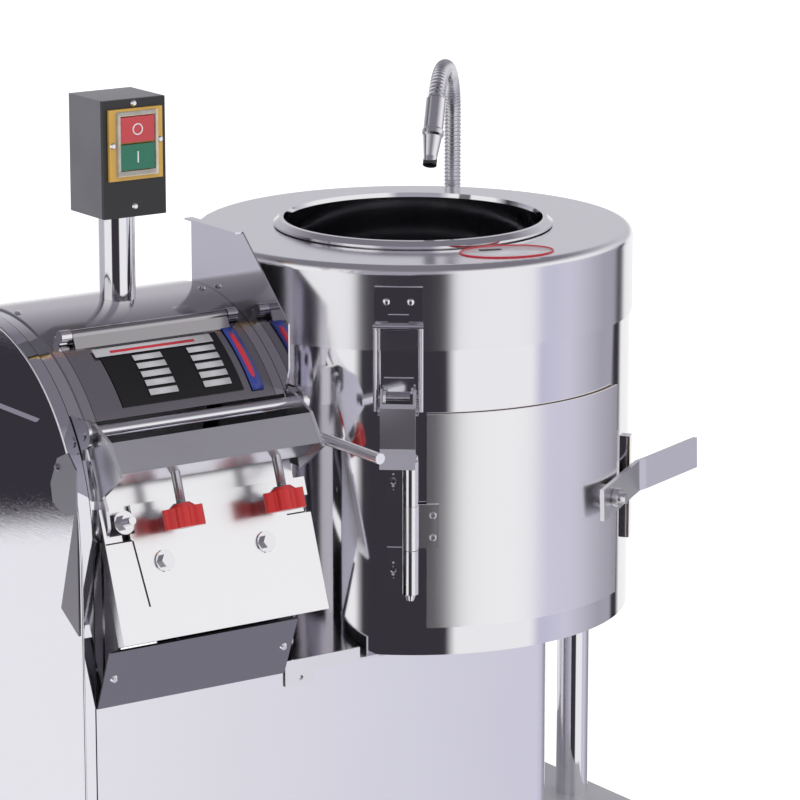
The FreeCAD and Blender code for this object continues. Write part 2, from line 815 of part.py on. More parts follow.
def slicing_front(ledge):
    left = drum_x - plate_left
    width = plate_left - plate_right
    face = slab("plate_face", 0, plate_height, -plate_wall, 0, left, width)
    flange = slab("plate_flange", 27, plate_height, -9.5, -plate_wall + 0.5, left, 2)
    notch = slab("plate_notch", -1, 24, -plate_wall - 1, 1, left + 3, 27)
    hook = slab("plate_hook", 16, 31, -plate_wall - 1, 1, left + width - 5, 6)
    slots = []
    for index, (x, along) in enumerate(bolt_places()):
        slots.append(slab(f"plate_slot_{index}", along - 9, along + 9, -plate_wall - 1, 1, x - 3.5, 7))
    stud_slot = slab("stud_slot", 5, 30, -plate_wall - 1, 1, left + 17, 8)
    plate = cut("blade_plate", fuse("plate_bent", face, flange), notch, hook, stud_slot, *slots)
    part("blade_plate", plate)

    bolts = []
    for index, (x, along) in enumerate(bolt_places()):
        y, z = tilted(along, 0.3)
        washer = rod(f"washer_{index}", 9, 1.5, (x, y, z), OUTWARD)
        y, z = tilted(along, 1.8)
        head = hexagon(f"bolt_head_{index}", 6, 5, (x, y, z))
        y, z = tilted(along, -20)
        shank = rod(f"bolt_shank_{index}", 3, 22, (x, y, z), OUTWARD)
        bolts.append(fuse(f"plate_bolt_{index}", washer, head, shank))
    stud_x = left + 21
    y, z = tilted(14, -20)
    pieces = [rod("stud_shank", 3.5, 36, (stud_x, y, z), OUTWARD)]
    y, z = tilted(14, 0.3)
    pieces.append(rod("stud_washer", 10, 2, (stud_x, y, z), OUTWARD))
    y, z = tilted(14, 2.3)
    pieces.append(hexagon("stud_nut", 7, 6, (stud_x, y, z)))
    bolts.append(fuse("plate_stud", *pieces))
    part("plate_bolts", group("plate_bolts_all", *bolts))

    bar_left = skin_x + 2
    bar_length = drum_x - cheek_right - bar_left
    bar = slab("knife_bar", 6, 70, -17, -12, bar_left, bar_length)
    holes = []
    for index, (x, along) in enumerate(bolt_places()):
        y, z = tilted(along, -25)
        holes.append(rod(f"bar_hole_{index}", 3, 30, (x, y, z), OUTWARD))
    y, z = tilted(14, -25)
    holes.append(rod("bar_stud_hole", 3.5, 30, (stud_x, y, z), OUTWARD))
    knife_start = tilted(70, -17)
    knife = pad(
        "knife",
        "YZ_Plane",
        knife_start,
        [tilted(70, -14), tilted(88, -15.5), tilted(90, -17), knife_start],
        bar_length,
        (bar_left, 0, 0),
    )
    part("knife_bar", fuse("knife_bar_all", cut("knife_bar_bored", bar, *holes), knife))

    cheeks = []
    base = arch_radius + skin_gap
    back = arch_y - base
    for index, x in enumerate((drum_x - plate_left + 4.3, drum_x - cheek_right)):
        top_angle = 22 if index == 0 else 8
        start = (arch_y - base * cosine(top_angle), arch_z + base * sine(top_angle))
        steps = [
            (back, arch_z, arch_y, arch_z, base, True),
            (back, deck_top + 14.5),
            (back - 1, deck_top + 14.5),
            tilted(plate_height - 16, -plate_wall - skin_gap),
        ]
        if index == 0:
            steps.append(tilted(22.5, -plate_wall - skin_gap))
            steps.append(tilted(17, 2))
            steps.append((drum_y - 151, lid_top - 177))
            steps.append((drum_y - 136, lid_top - 148))
        else:
            steps.append(tilted(8, -plate_wall - skin_gap))
        steps.append(start)
        cheeks.append(pad(f"cheek_{index}", "YZ_Plane", start, steps, 3, (x, 0, 0)))
    part("cheeks", group("cheeks", *cheeks))

    guard_left = drum_x - 423
    guard_width = 187
    top = (drum_y - 168, lid_top - 293)
    low = (front_y - 0.3, deck_top + 1)
    start = top
    steps = [
        (top[0] + 0.4, top[1] - 2),
        (low[0], low[1] + 1),
        low,
        (low[0] - 1.6, low[1]),
        (top[0] - 1.3, top[1] - 1.4),
        start,
    ]
    guard_sheet = pad("guard_sheet", "YZ_Plane", start, steps, guard_width, (guard_left, 0, 0))
    part("lower_guard", guard_sheet)
    screws = []
    for index, x in enumerate((guard_left + 10, guard_left + guard_width - 8)):
        y = (top[0] + low[0]) / 2 - 1.3
        z = (top[1] + low[1]) / 2
        screws.append(bolt(f"guard_screw_{index}", 2, 3, 4, 2.2, (x, y, z), V(0, -0.9, -0.43)))
    screws_on_frame.extend(screws)

    bracket_x = left_x - 2
    start = (drum_y - 138, lid_top - 178)
    steps = [
        (drum_y - 112, lid_top - 266),
        (drum_y - 141, lid_top - 284),
        (drum_y - 141, lid_top - 140),
        (drum_y - 128, lid_top - 128),
        (drum_y - 110, lid_top - 136),
        (drum_y - 98, lid_top - 160),
        (drum_y - 101, lid_top - 176),
        (drum_y - 122, lid_top - 184),
        start,
    ]
    wing = pad("side_bracket", "YZ_Plane", start, steps, sheet_wall, (bracket_x - 1.6, 0, 0))
    screw = bolt("side_screw", 2, 3, 3.5, 2, (bracket_x - 1.6, drum_y - 110, lid_top - 144), RIGHT * -1)
    part("side_brackets", group("side_brackets_all", fuse("side_bracket", wing, screw), ledge))


def bolt_places():
    return ((drum_x - 365, 51), (drum_x - 264, 50))


def hexagon(name, radius, height, base):
    """A hexagonal head standing out from the blade plate."""
    thing = doc.addObject("Part::Prism", name)
    thing.Polygon = 6
    bind(thing, "Circumradius", radius)
    bind(thing, "Height", height)
    return put(thing, base, FreeCAD.Rotation(UP, OUTWARD))


# Slicing rotor and its drive
def slicing_drive():
    housing_x = skin_x + sheet_wall + 4
    housing_length = end_x - sheet_wall - 4 - housing_x
    reach = rotor_radius + 8
    shell = tube("housing_tube", reach + 1.5, reach, housing_length, (housing_x, arch_y, arch_z), RIGHT)
    mouth = block(
        "housing_mouth",
        (housing_x - 1, arch_y - reach - 10, arch_z - reach * 0.75),
        (housing_length + 2, reach * 0.7, reach * 1.5),
    )
    foot_left = block(
        "housing_foot_left",
        (housing_x, arch_y + 40, deck_top),
        (housing_length, 3, 32),
    )
    foot_right = block(
        "housing_foot_right",
        (housing_x, arch_y + 78, deck_top),
        (housing_length, 3, 50),
    )
    core = rod("housing_core", reach + 0.5, housing_length + 2, (housing_x - 1, arch_y, arch_z), RIGHT)
    feet = cut("housing_feet", fuse("housing_foot_pair", foot_left, foot_right), core)
    part("slicing_housing", fuse("slicing_housing", cut("housing_open", shell, mouth), feet))

    shaft_left = band_x - 1
    shaft_length = end_x + 4 - shaft_left
    shaft = rod("rotor_axle", rotor_shaft_radius, shaft_length, (shaft_left, arch_y, arch_z), RIGHT)
    rotor_pulley_radius = motor_pulley_radius + 18
    base = (band_x + 0.5, arch_y, arch_z)
    pulley = v_pulley("rotor_pulley", rotor_pulley_radius, 9, base, RIGHT)
    part("rotor_shaft", fuse("rotor_shaft_all", shaft, pulley))
    rotor_x = housing_x + 4
    rotor_length = housing_length - 8
    hub = rod("rotor_hub", 30, rotor_length, (rotor_x, arch_y, arch_z), RIGHT)
    side = rod("rotor_side", rotor_radius, 4, (rotor_x, arch_y, arch_z), RIGHT)
    vanes = []
    for index in range(4):
        angle = 90 * index + 20
        vane = block(f"vane_{index}", (rotor_x, arch_y, arch_z), (rotor_length, rotor_radius - 1, 3))
        turn = FreeCAD.Rotation(RIGHT, angle)
        put(vane, (rotor_x, arch_y, arch_z), turn)
        vanes.append(vane)
    bore = rod("rotor_bore", rotor_shaft_radius, rotor_length + 2, (rotor_x - 1, arch_y, arch_z), RIGHT)
    part("rotor", cut("rotor", fuse("rotor_all", hub, side, *vanes), bore))

    bearings = []
    for index, x in enumerate((skin_x, end_x - sheet_wall - 6)):
        length = 8 if index == 0 else 6
        outer = rod(f"rotor_bearing_{index}_o", 24, length, (x, arch_y, arch_z), RIGHT)
        inner = rod(f"rotor_bearing_{index}_i", rotor_shaft_radius + shaft_gap, 20, (x - 2, arch_y, arch_z), RIGHT)
        bearings.append(cut(f"rotor_bearing_{index}", outer, inner))
    return bearings


def v_pulley(name, radius, width, base, direction):
    """A one-groove V pulley."""
    half = as_size(width) / 2
    low = taper(name + "_low", radius, radius - 5, half, base, direction)
    middle = [c + half * part_of for c, part_of in zip(base, direction)]
    high = taper(name + "_high", radius - 5, radius, half, middle, direction)
    return fuse(name + "_rims", low, high)


def belt(name, first, second, first_radius, second_radius, width, normal):
    """A closed belt round two pulleys that lie in one plane, built from its own outline."""
    wall = 4.0
    a = V(*[as_size(c).value for c in first])
    b = V(*[as_size(c).value for c in second])
    gap = (b - a).Length
    ahead = (b - a).normalize()
    aside = normal.cross(ahead)
    loops = []
    for extra in (0.0, wall):
        ra = as_size(first_radius).value + extra
        rb = as_size(second_radius).value + extra
        lean = math.asin((ra - rb) / gap)
        points = {}
        for sign in (1, -1):
            out = ahead * math.sin(lean) + aside * (sign * math.cos(lean))
            points[sign] = (a + out * ra, b + out * rb)
        edges = [
            Part.LineSegment(points[1][0], points[1][1]).toShape(),
            Part.Arc(points[1][1], b + ahead * rb, points[-1][1]).toShape(),
            Part.LineSegment(points[-1][1], points[-1][0]).toShape(),
            Part.Arc(points[-1][0], a - ahead * ra, points[1][0]).toShape(),
        ]
        loops.append(Part.Face(Part.Wire(edges)))
    ring = loops[1].cut(loops[0])
    solid = ring.extrude(normal * as_size(width).value)
    thing = doc.addObject("Part::Feature", name)
    thing.Shape = solid.Solids[0]
    return thing


def rotor_motor():
    pulley_x = band_x + 0.5
    motor_z = tray_top + 78
    rotor_pulley_radius = motor_pulley_radius + 18
    motor_base = (pulley_x, arch_y, motor_z)
    pulley = v_pulley("slicer_motor_pulley", motor_pulley_radius, 9, motor_base, RIGHT)
    shaft_length = skin_x + 16 - pulley_x
    shaft = rod("slicer_motor_shaft", motor_shaft_radius, shaft_length, motor_base, RIGHT)
    part("slicer_motor_rotor", fuse("slicer_motor_rotor_all", pulley, shaft))
    body_x = skin_x + 8
    body = rod("slicer_motor_can", motor_radius, 150, (body_x, arch_y, motor_z), RIGHT)
    hole = rod("slicer_motor_hole", motor_shaft_radius + shaft_gap, 30, (body_x - 1, arch_y, motor_z), RIGHT)
    feet = block(
        "slicer_motor_feet",
        (body_x + 20, arch_y - 50, tray_top),
        (110, 100, 30),
    )
    motor = cut("slicer_motor", fuse("slicer_motor_all", body, feet), hole)
    first = (band_x + 1.5, arch_y, arch_z)
    second = (band_x + 1.5, arch_y, motor_z)
    loop = belt("rotor_belt", first, second, rotor_pulley_radius + 0.2, motor_pulley_radius + 0.2, 7, RIGHT)
    return motor, loop


# Peeling drum
def drum():
    base = (drum_x, drum_y, deck_top)
    inner = drum_radius - sheet_wall
    shell = tube("drum_wall", drum_radius, inner, drum_height, base)
    opening_half = door_half_angle - door_lap
    opening = door_wedge("drum_opening", drum_radius + 5, 20, opening_half, door_bottom + 5, door_height - 10)
    floor = rod("drum_floor", drum_radius - 0.5, 2, base)
    hub_hole = rod("drum_hub_hole", 24, 10, (drum_x, drum_y, deck_top - 4))
    drain_spot = drain_place()
    drain_hole = rod("drum_drain_hole", 20, 10, (*drain_spot[:2], deck_top - 4))
    spigot = tube("spigot", inner, inner - sheet_wall, spigot_height + 12, (drum_x, drum_y, seam_z - 12))
    floor_cut = cut("drum_floor_cut", floor, hub_hole, drain_hole)
    part("drum_shell", fuse("drum_shell", cut("drum_wall_open", shell, opening), floor_cut, spigot))

    liner_top = drum_height - 14
    liner_base = (drum_x, drum_y, deck_top + 4)
    liner_outer = inner - skin_gap
    liner = tube("liner_tube", liner_outer, liner_outer - liner_wall, liner_top - 4, liner_base)
    liner_open = door_wedge("liner_opening", drum_radius + 5, 20, opening_half, door_bottom + 5, door_height - 10)
    part("drum_liner", cut("drum_liner", liner, liner_open))

    gasket_outer = door_wedge(
        "gasket_outer",
        drum_radius + gasket_wall,
        gasket_wall - 0.05,
        door_half_angle - 0.4,
        door_bottom + 1,
        door_height - 2,
    )
    gasket_hole = door_wedge(
        "gasket_hole",
        drum_radius + 5,
        20,
        door_half_angle - 0.4 - gasket_width * 0.3,
        door_bottom + 1 + gasket_width,
        door_height - 2 - 2 * gasket_width,
    )
    gasket = cut("door_gasket", gasket_outer, gasket_hole)

    door_radius = drum_radius + 2 + door_wall
    door = door_wedge("door_sheet", door_radius, door_wall, door_half_angle, door_bottom, door_height)

    drain = fuse(
        "drain_pipe_all",
        tube("drain_drop", 22, 19.5, 50, (*drain_spot[:2], deck_top - 50)),
        tube("drain_collar", 28, 19.5, 4, (*drain_spot[:2], deck_top - 4)),
    )
    part("drain_pipe", drain)
    return door, gasket


def door_wedge(name, outer, depth, half_angle, bottom, height):
    """The part of a ring round the drum that faces the front."""
    base = (drum_x, drum_y, deck_top + bottom)
    half = as_size(half_angle)
    shell = rod(name + "_o", outer, height, base, UP, half * -1 - 90, half * 2)
    bore = rod(name + "_i", as_size(outer) - depth, height, base)
    return cut(name, shell, bore)


def drain_place():
    return (drum_x + 95, drum_y + 115, 0)


def lid(gasket):
    r = lid_radius
    wall = sheet_wall
    edge = 8
    h = lid_height
    start = (r - wall, 0)
    steps = [
        (r, 0),
        (r, h - edge),
        (r - edge, h, r - edge, h - edge, edge, True),
        (mouth_radius, h),
        (mouth_radius, h - wall),
        (r - edge, h - wall),
        (r - wall, h - edge, r - edge, h - edge, edge - wall, False),
        start,
    ]
    cover = turned("lid", start, steps, (drum_x, drum_y, seam_z))
    part("lid_ring", cover)

    throat_start = (mouth_radius - 2, h - 34)
    throat_steps = [
        (mouth_radius - 2 + wall, h - 34),
        (mouth_radius - 2 + wall, h + 1),
        (mouth_radius + 8, h + 1),
        (mouth_radius + 8, h + 3),
        (mouth_radius + 3, h + 3 + rim_radius),
        (mouth_radius - 1, h + 3 + rim_radius),
        (mouth_radius - 2, h + 3),
        throat_start,
    ]
    rim = turned("mouth_rim", throat_start, throat_steps, (drum_x, drum_y, seam_z))
    part("mouth_rim", rim)

    seal_inner = drum_radius - sheet_wall + 0.05
    seal = tube("lid_seal", lid_radius - sheet_wall - 0.1, seal_inner, 5, (drum_x, drum_y, seam_z))
    part("rubber_seals", group("rubber_seals_all", gasket, seal))


# Door hinge, handle and keeper
def door_hardware(door):
    axis_radius = drum_radius + 9
    x, y, z = round_drum(axis_radius, -hinge_angle, hinge_rise)
    third = hinge_height / 3
    knuckles = []
    for index, rise in enumerate((0, third * 2)):
        body = rod(f"knuckle_{index}", hinge_knuckle_radius, third - skin_gap, (x, y, z + rise))
        leaf = leaf_wedge(f"fixed_leaf_{index}", drum_radius + 1.6, 1.5, -41, 6.5, rise, third - skin_gap)
        knuckles.append(fuse(f"fixed_knuckle_{index}", body, leaf))
    moving = rod("moving_knuckle", hinge_knuckle_radius, third - 2 * skin_gap, (x, y, z + third + skin_gap))
    leaf = leaf_wedge(
        "moving_leaf",
        drum_radius + 6.1,
        2.3,
        -35,
        7,
        third + skin_gap,
        third - 2 * skin_gap,
    )
    bore = rod("moving_bore", hinge_pin_radius + shaft_gap, hinge_height, (x, y, z))
    door_leaf = cut("hinge_door_leaf", fuse("moving_pair", moving, leaf), bore)
    pin = fuse(
        "hinge_pin",
        rod("pin_shank", hinge_pin_radius, hinge_height + 4, (x, y, z - 2)),
        taper("pin_low_head", 3, 5, 5, (x, y, z - 6)),
        taper("pin_high_head", 5, 3, 5, (x, y, z + hinge_height + 1)),
    )
    part("hinge_and_pin", fuse("hinge_and_pin_all", pin, *knuckles))
    screws = []
    for index, (angle, rise) in enumerate(((-39.3, 20), (-39.3, 100))):
        screws.append(drum_screw(f"hinge_screw_{index}", drum_radius + 1.6, angle, hinge_rise + rise))
    screws_on_frame.extend(screws)
    screws = []
    for index, rise in enumerate((50, 70)):
        screws.append(drum_screw(f"door_screw_{index}", drum_radius + 6.1, -29.5, hinge_rise + rise))

    bolt_rise = 120.5
    out = V(math.sin(math.radians(handle_angle.value)), -math.cos(math.radians(handle_angle.value)), 0)
    along = V(-out.y, out.x, 0)
    pivot = handle_point(handle_seat, -30)
    seat = drum_radius + 2 + door_wall
    boss = cut(
        "handle_boss",
        rod("boss_rod", 11, 12, (*handle_point(handle_seat - 12.3, -30), deck_top + bolt_rise), out),
        rod("boss_core", seat - 0.5, 40, (drum_x, drum_y, deck_top + bolt_rise - 20)),
    )
    spot = (*handle_point(handle_seat - 2, -30), deck_top + bolt_rise)
    shank = rod("pivot_shank", 5, 18, spot, out)
    nut_spot = (*handle_point(handle_seat + 4.3, -30), deck_top + bolt_rise)
    nut = rod("pivot_nut", 9, 6, nut_spot, out)
    part("discharge_door", fuse("discharge_door_all", door, door_leaf, *screws, boss, shank, nut))

    thick = 4
    leg = 80
    lean = 16.8
    outward = 1 * leg * sine(lean)
    onward = 1 * leg * cosine(lean)
    path = [(0, -56), (0, 38), (3.5, 46), (3.5 + outward, 46 + onward)]
    far = [(c[0] + thick, c[1]) for c in reversed(path)]
    points = [handle_point(handle_seat + c[0], c[1]) for c in path + far]
    steps = points[1:] + points[:1]
    bar = pad("handle_bar", "XY_Plane", points[0], steps, 29, (0, 0, deck_top + bolt_rise - 14.5))
    centre = V(pivot[0].value, pivot[1].value, (deck_top + bolt_rise).value)
    turn = FreeCAD.Rotation(out, 3.5)
    bar.setExpression("Placement.Base.z", None)
    for axis in "xy":
        bar.setExpression(f"Placement.Base.{axis}", None)
    bar.Placement = FreeCAD.Placement(centre - turn.multVec(centre), turn).multiply(bar.Placement)
    hole_spot = (*handle_point(handle_seat - 10, -30), deck_top + bolt_rise)
    hole = rod("handle_hole", 5 + shaft_gap, 30, hole_spot, out)
    part("door_handle", cut("door_handle_bored", bar, hole))

    keeper_angle = 41
    keeper = leaf_wedge("keeper_web", drum_radius + 5.5, 6, keeper_angle, 3.4, 68 - hinge_rise, 95)
    trim = rod("keeper_trim", drum_radius + 0.05, 200, (drum_x, drum_y, deck_top + 40))
    return cut("handle_keeper", keeper, trim)


def handle_point(reach, across):
    """A point of the handle's plan: out from the drum's axis, and across that direction."""
    x = drum_x + reach * sine(handle_angle) + across * cosine(handle_angle)
    y = drum_y - reach * cosine(handle_angle) + across * sine(handle_angle)
    return x, y


def leaf_wedge(name, outer, depth, start, sweep, rise, height):
    """A curved strip round the drum, from an angle counted from the front."""
    base = (drum_x, drum_y, deck_top + hinge_rise + rise)
    shell = rod(name + "_o", outer, height, base, UP, start - 90, sweep)
    bore = rod(name + "_i", as_size(outer) - depth, height, base)
    return cut(name, shell, bore)


def drum_screw(name, radius, angle, rise):
    out = V(math.sin(math.radians(angle)), -math.cos(math.radians(angle)), 0)
    return bolt(name, 1.5, 2, 3.2, 1.8, round_drum(radius, angle, rise), out)


# Toggle latches
def latch(side, angle):
    """Strike on the lid, base on the drum, and the lever and wire loop between them."""
    skirt = -1 * lid_radius
    y_skirt = drum_y - lid_radius
    y_drum = drum_y - drum_radius
    strike = fuse(
        f"strike_raw_{side}",
        block(f"strike_plate_{side}", (drum_x - 21, y_skirt - 2, seam_z + 27), (42, 8, 30)),
        block(f"strike_neck_{side}", (drum_x - 9, y_skirt - 4, seam_z + 17), (18, 5, 16)),
        block(f"strike_tongue_{side}", (drum_x - 9, y_skirt - 12, seam_z + 18), (18, 10, 3)),
    )
    skirt_core = rod(f"strike_core_{side}", lid_radius + 0.05, lid_height, (drum_x, drum_y, seam_z))
    strike = cut(f"strike_cut_{side}", strike, skirt_core)

    pivot_z = seam_z - 40
    pivot_y = y_drum - 9
    base = fuse(
        f"base_raw_{side}",
        block(f"base_plate_{side}", (drum_x - 13, y_drum - 2, pivot_z - 16), (26, 8, 32)),
        block(f"base_ear_a_{side}", (drum_x - 13, pivot_y - 5, pivot_z - 5), (2.5, 11, 10)),
        block(f"base_ear_b_{side}", (drum_x + 10.5, pivot_y - 5, pivot_z - 5), (2.5, 11, 10)),
    )
    base_core = rod(f"base_core_{side}", drum_radius + 0.05, drum_height, (drum_x, drum_y, deck_top))
    pin = rod(f"base_pin_{side}", 2.5, 34, (drum_x - 17, pivot_y, pivot_z), RIGHT)
    base = fuse(f"base_pinned_{side}", cut(f"base_cut_{side}", base, base_core), pin)

    start = (pivot_y - 4, pivot_z + 7)
    steps = [
        (pivot_y + 3.5, pivot_z + 7),
        (pivot_y + 3.5, pivot_z - 6),
        (pivot_y - 3, pivot_z - 20),
        (pivot_y - 3, pivot_z - 44),
        (pivot_y - 10, pivot_z - 62),
        (pivot_y - 13, pivot_z - 61),
        (pivot_y - 7, pivot_z - 44),
        (pivot_y - 7, pivot_z - 8),
        start,
    ]
    lever = pad(f"lever_{side}", "YZ_Plane", start, steps, 31, (drum_x - 15.5, 0, 0))
    room = block(
        f"lever_room_{side}",
        (drum_x - 13.3, pivot_y - 6.2, pivot_z - 22),
        (26.6, 20, 40),
    )
    lever_bore = rod(f"lever_bore_{side}", 2.55, 40, (drum_x - 20, pivot_y, pivot_z), RIGHT)
    lever = cut(f"lever_cut_{side}", lever, room, lever_bore)

    loop_z = pivot_z - 12
    loop_top = seam_z + 18 + 3 + 2.2
    loop_y = pivot_y
    wire = 2.0
    hook_y = y_skirt - 7
    stud_pieces = []
    arms = []
    for sign in (-1, 1):
        x = drum_x + sign * 20
        arm_wire = wire - 0.15
        arms.append(wire_arm(f"loop_arm_{side}_{sign}", x, loop_y, loop_z, hook_y, loop_top, arm_wire))
        stud_x = drum_x + (15.5 if sign > 0 else -17.7)
        stud_pieces.append(rod(f"loop_eye_{side}_{sign}", 4, 2.2, (stud_x, loop_y, loop_z), RIGHT))
    bar = rod(f"loop_bar_{side}", wire, 44, (drum_x - 22, hook_y, loop_top), RIGHT)
    loop = fuse(f"loop_raw_{side}", bar, *arms)
    lever = fuse(f"lever_all_{side}", lever, *stud_pieces)
    return strike, base, lever, loop


def wire_arm(name, x, y_low, z_low, y_high, z_high, radius):
    """One side of the latch's wire loop, from the lever's pin up to the cross bar."""
    low = V(as_size(x).value, as_size(y_low).value, as_size(z_low).value)
    high = V(as_size(x).value, as_size(y_high).value, as_size(z_high).value)
    reach = high - low
    length = root((y_high - y_low) * (y_high - y_low) + (z_high - z_low) * (z_high - z_low))
    return rod(name, radius, length, (x, y_low, z_low), reach.normalize())


def latches(keeper):
    strike, base, lever, loop = latch("front", latch_angle.value)
    strike = around("strike_turned", [strike], latch_angle)
    base = around("base_turned", [base], latch_angle)
    part("drum_brackets", group("drum_brackets_all", strike, base, keeper))
    part("latch_lever", around("lever_turned", [lever], latch_angle))
    part("latch_loop", around("loop_turned", [loop], latch_angle))


# Peeling disc and its drive
def peeling_drive(other_motor, other_belt, other_bearings):
    disc_z = deck_top + door_bottom - disc_wall - 3
    disc = rod("disc_plate", disc_radius, disc_wall, (drum_x, drum_y, disc_z))
    waves = []
    for index in range(3):
        angle = 120 * index
        ridge = block(f"wave_{index}", (0, 0, 0), (disc_radius - 20, 26, 7))
        turn = FreeCAD.Rotation(UP, angle)
        offset = turn.multVec(V(12, -13, 0))
        put(ridge, (drum_x + offset.x, drum_y + offset.y, disc_z + disc_wall - 1), turn)
        waves.append(ridge)
    hub = rod("disc_hub", 35, 8, (drum_x, drum_y, disc_z - 8))
    bore = rod("disc_bore", disc_shaft_radius, 60, (drum_x, drum_y, disc_z - 20))
    part("abrasive_disc", cut("abrasive_disc", fuse("disc_all", disc, hub, *waves), bore))

    pulley_top = deck_top - 40
    shaft_low = pulley_top - 26
    shaft_length = disc_z + disc_wall + 8 - shaft_low
    shaft = rod("disc_axle", disc_shaft_radius, shaft_length, (drum_x, drum_y, shaft_low))
    nut = rod("disc_nut", 20, 9, (drum_x, drum_y, disc_z + disc_wall + 7))

    housing_low = deck_top - 36
    housing = fuse(
        "bearing_housing_all",
        rod("bearing_barrel", 23.9, 36, (drum_x, drum_y, housing_low)),
        rod("bearing_flange", 46, 6, (drum_x, drum_y, deck_top - sheet_wall - 6)),
    )
    seat = rod("bearing_seat", 18 + bearing_wall / 4, 50, (drum_x, drum_y, housing_low - 1))
    part("bearing_housing", cut("bearing_housing", housing, seat))
    bearings = []
    for index, z in enumerate((housing_low, deck_top - bearing_wall)):
        race = rod(f"disc_bearing_{index}_o", 18 + bearing_wall / 4, bearing_wall, (drum_x, drum_y, z))
        hole = rod(f"disc_bearing_{index}_i", disc_shaft_radius + shaft_gap, 30, (drum_x, drum_y, z - 5))
        bearings.append(cut(f"disc_bearing_{index}", race, hole))
    part("shaft_bearings", group("shaft_bearings_all", *bearings, *other_bearings))

    pulley_base = (drum_x, drum_y, pulley_top - 20)
    wheel = v_pulley("disc_pulley", disc_pulley_radius, 18, pulley_base, UP)
    part("disc_shaft", fuse("disc_shaft_all", shaft, nut, wheel))
    motor_x = drum_x - 135
    motor_y = drum_y + 75
    small_base = (motor_x, motor_y, pulley_top - 20)
    pulley = v_pulley("peeler_motor_pulley", motor_pulley_radius, 18, small_base, UP)
    shaft = rod("peeler_motor_shaft", motor_shaft_radius, 45, (motor_x, motor_y, pulley_top - 45))
    part("peeler_motor_rotor", fuse("peeler_motor_rotor_all", pulley, shaft))
    can_top = pulley_top - 26
    can = rod("peeler_motor_can", motor_radius, can_top - tray_top, (motor_x, motor_y, tray_top))
    hole = rod("peeler_motor_hole", motor_shaft_radius + shaft_gap, 30, (motor_x, motor_y, can_top - 25))
    part("drive_motors", group("drive_motors_all", cut("peeler_motor", can, hole), other_motor))
    first = (drum_x, drum_y, pulley_top - 17)
    second = (motor_x, motor_y, pulley_top - 17)
    loop = belt("disc_belt", first, second, disc_pulley_radius + 0.2, motor_pulley_radius + 0.2, 12, UP)
    part("drive_belts", group("drive_belts_all", loop, other_belt))


# Switch on its post, column and hose
def switch():
    post_x = drum_x - 301
    post_y = drum_y + 18
    foot = arch_z + root(arch_radius * arch_radius - (post_y - arch_y) * (post_y - arch_y)) - 1
    box_low = lid_top + 40
    post = rod("post_rod", post_radius, box_low - foot + 6, (post_x, post_y, foot - 6))
    core = rod("post_core", arch_radius + 0.05, 60, (post_x - 30, arch_y, arch_z), RIGHT)
    part("switch_post", cut("switch_post", post, core))
    left = post_x - 30
    front = post_y - 27
    box = block("switch_case", (left, front, box_low), (box_width, box_depth, box_height))
    hollow_corner = (left + 2, front - 1, box_low + 2)
    hollow = block("switch_hollow", hollow_corner, (box_width - 4, box_depth - 1, box_height - 4))
    part("switch_box", cut("switch_box", box, hollow))
    plate_y = front - 4
    window_left = left + 14
    red_low = box_low + 66
    green_low = box_low + 42
    holes = []
    for name, low in (("red", red_low), ("green", green_low)):
        holes.append(block(f"{name}_hole", (window_left, front - 20, low), (34, 60, 22.6)))
    plate = block("face_plate_raw", (left, plate_y, box_low), (box_width, 4, box_height))
    part("face_plate", cut("face_plate", plate, *holes))
    surround = block("surround_raw", (left + 4.5, plate_y - 3, box_low + 33), (box_width - 9, 3, 62))
    surround_holes = []
    for name, low in (("red_s", red_low), ("green_s", green_low)):
        surround_holes.append(block(f"{name}_hole", (window_left, front - 20, low), (34, 60, 22.6)))
    frame = block("frame_raw", (left + 11, plate_y - 7, box_low + 37), (40, 4, 56))
    frame_hole = block("frame_hole", (left + 13.5, plate_y - 9, box_low + 41.5), (35, 8, 48))
    surround = cut("surround_open", surround, *surround_holes)
    part("button_surround", fuse("button_surround_all", surround, cut("frame_open", frame, frame_hole)))
    for name, low in (("off_button", red_low), ("on_button", green_low)):
        cap = block(
            f"{name}_cap",
            (window_left + skin_gap, plate_y - 6, low + skin_gap),
            (34 - 2 * skin_gap, 16, 22.6 - 2 * skin_gap),
        )
        part(name, cap)
    block_y = front + 6 + 4 + button_travel
    contact = block("contact_raw", (left + 8, block_y, box_low + 30), (box_width - 16, 20, 66))
    rear = block("contact_rear", (left + 20, block_y + 19, box_low + 40), (22, box_depth, 40))
    limit = block("contact_limit", (left + 3, block_y, box_low), (56, box_depth - 2 - (block_y - front), 100))
    part("contact_block", common("contact_block", fuse("contact_all", contact, rear), limit))
    screws = []
    for index, (across, rise) in enumerate(((15, 64), (55, 66))):
        spot = (left + across - 0.0, plate_y - 3, box_low + rise)
        if index == 0:
            spot = (left + 8, plate_y - 3, box_low + rise)
        screws.append(bolt(f"surround_screw_{index}", 1.6, 2.5, 3, 1.6, spot, BACK * -1))
    for index, rise in enumerate((9, 99)):
        spot = (left + box_width / 2, plate_y, box_low + rise)
        screws.append(bolt(f"plate_screw_{index}", 1.6, 3, 3, 1.4, spot, BACK * -1))
    screws_on_frame.extend(screws)


def columns():
    pair = []
    for index, y in enumerate((drum_y - 54, drum_y + 109)):
        column = rod(f"column_{index}", column_radius, cabinet_height, (drum_x + 146, y, tray_top))
        pair.append(column)
    part("support_columns", group("support_columns", *pair))


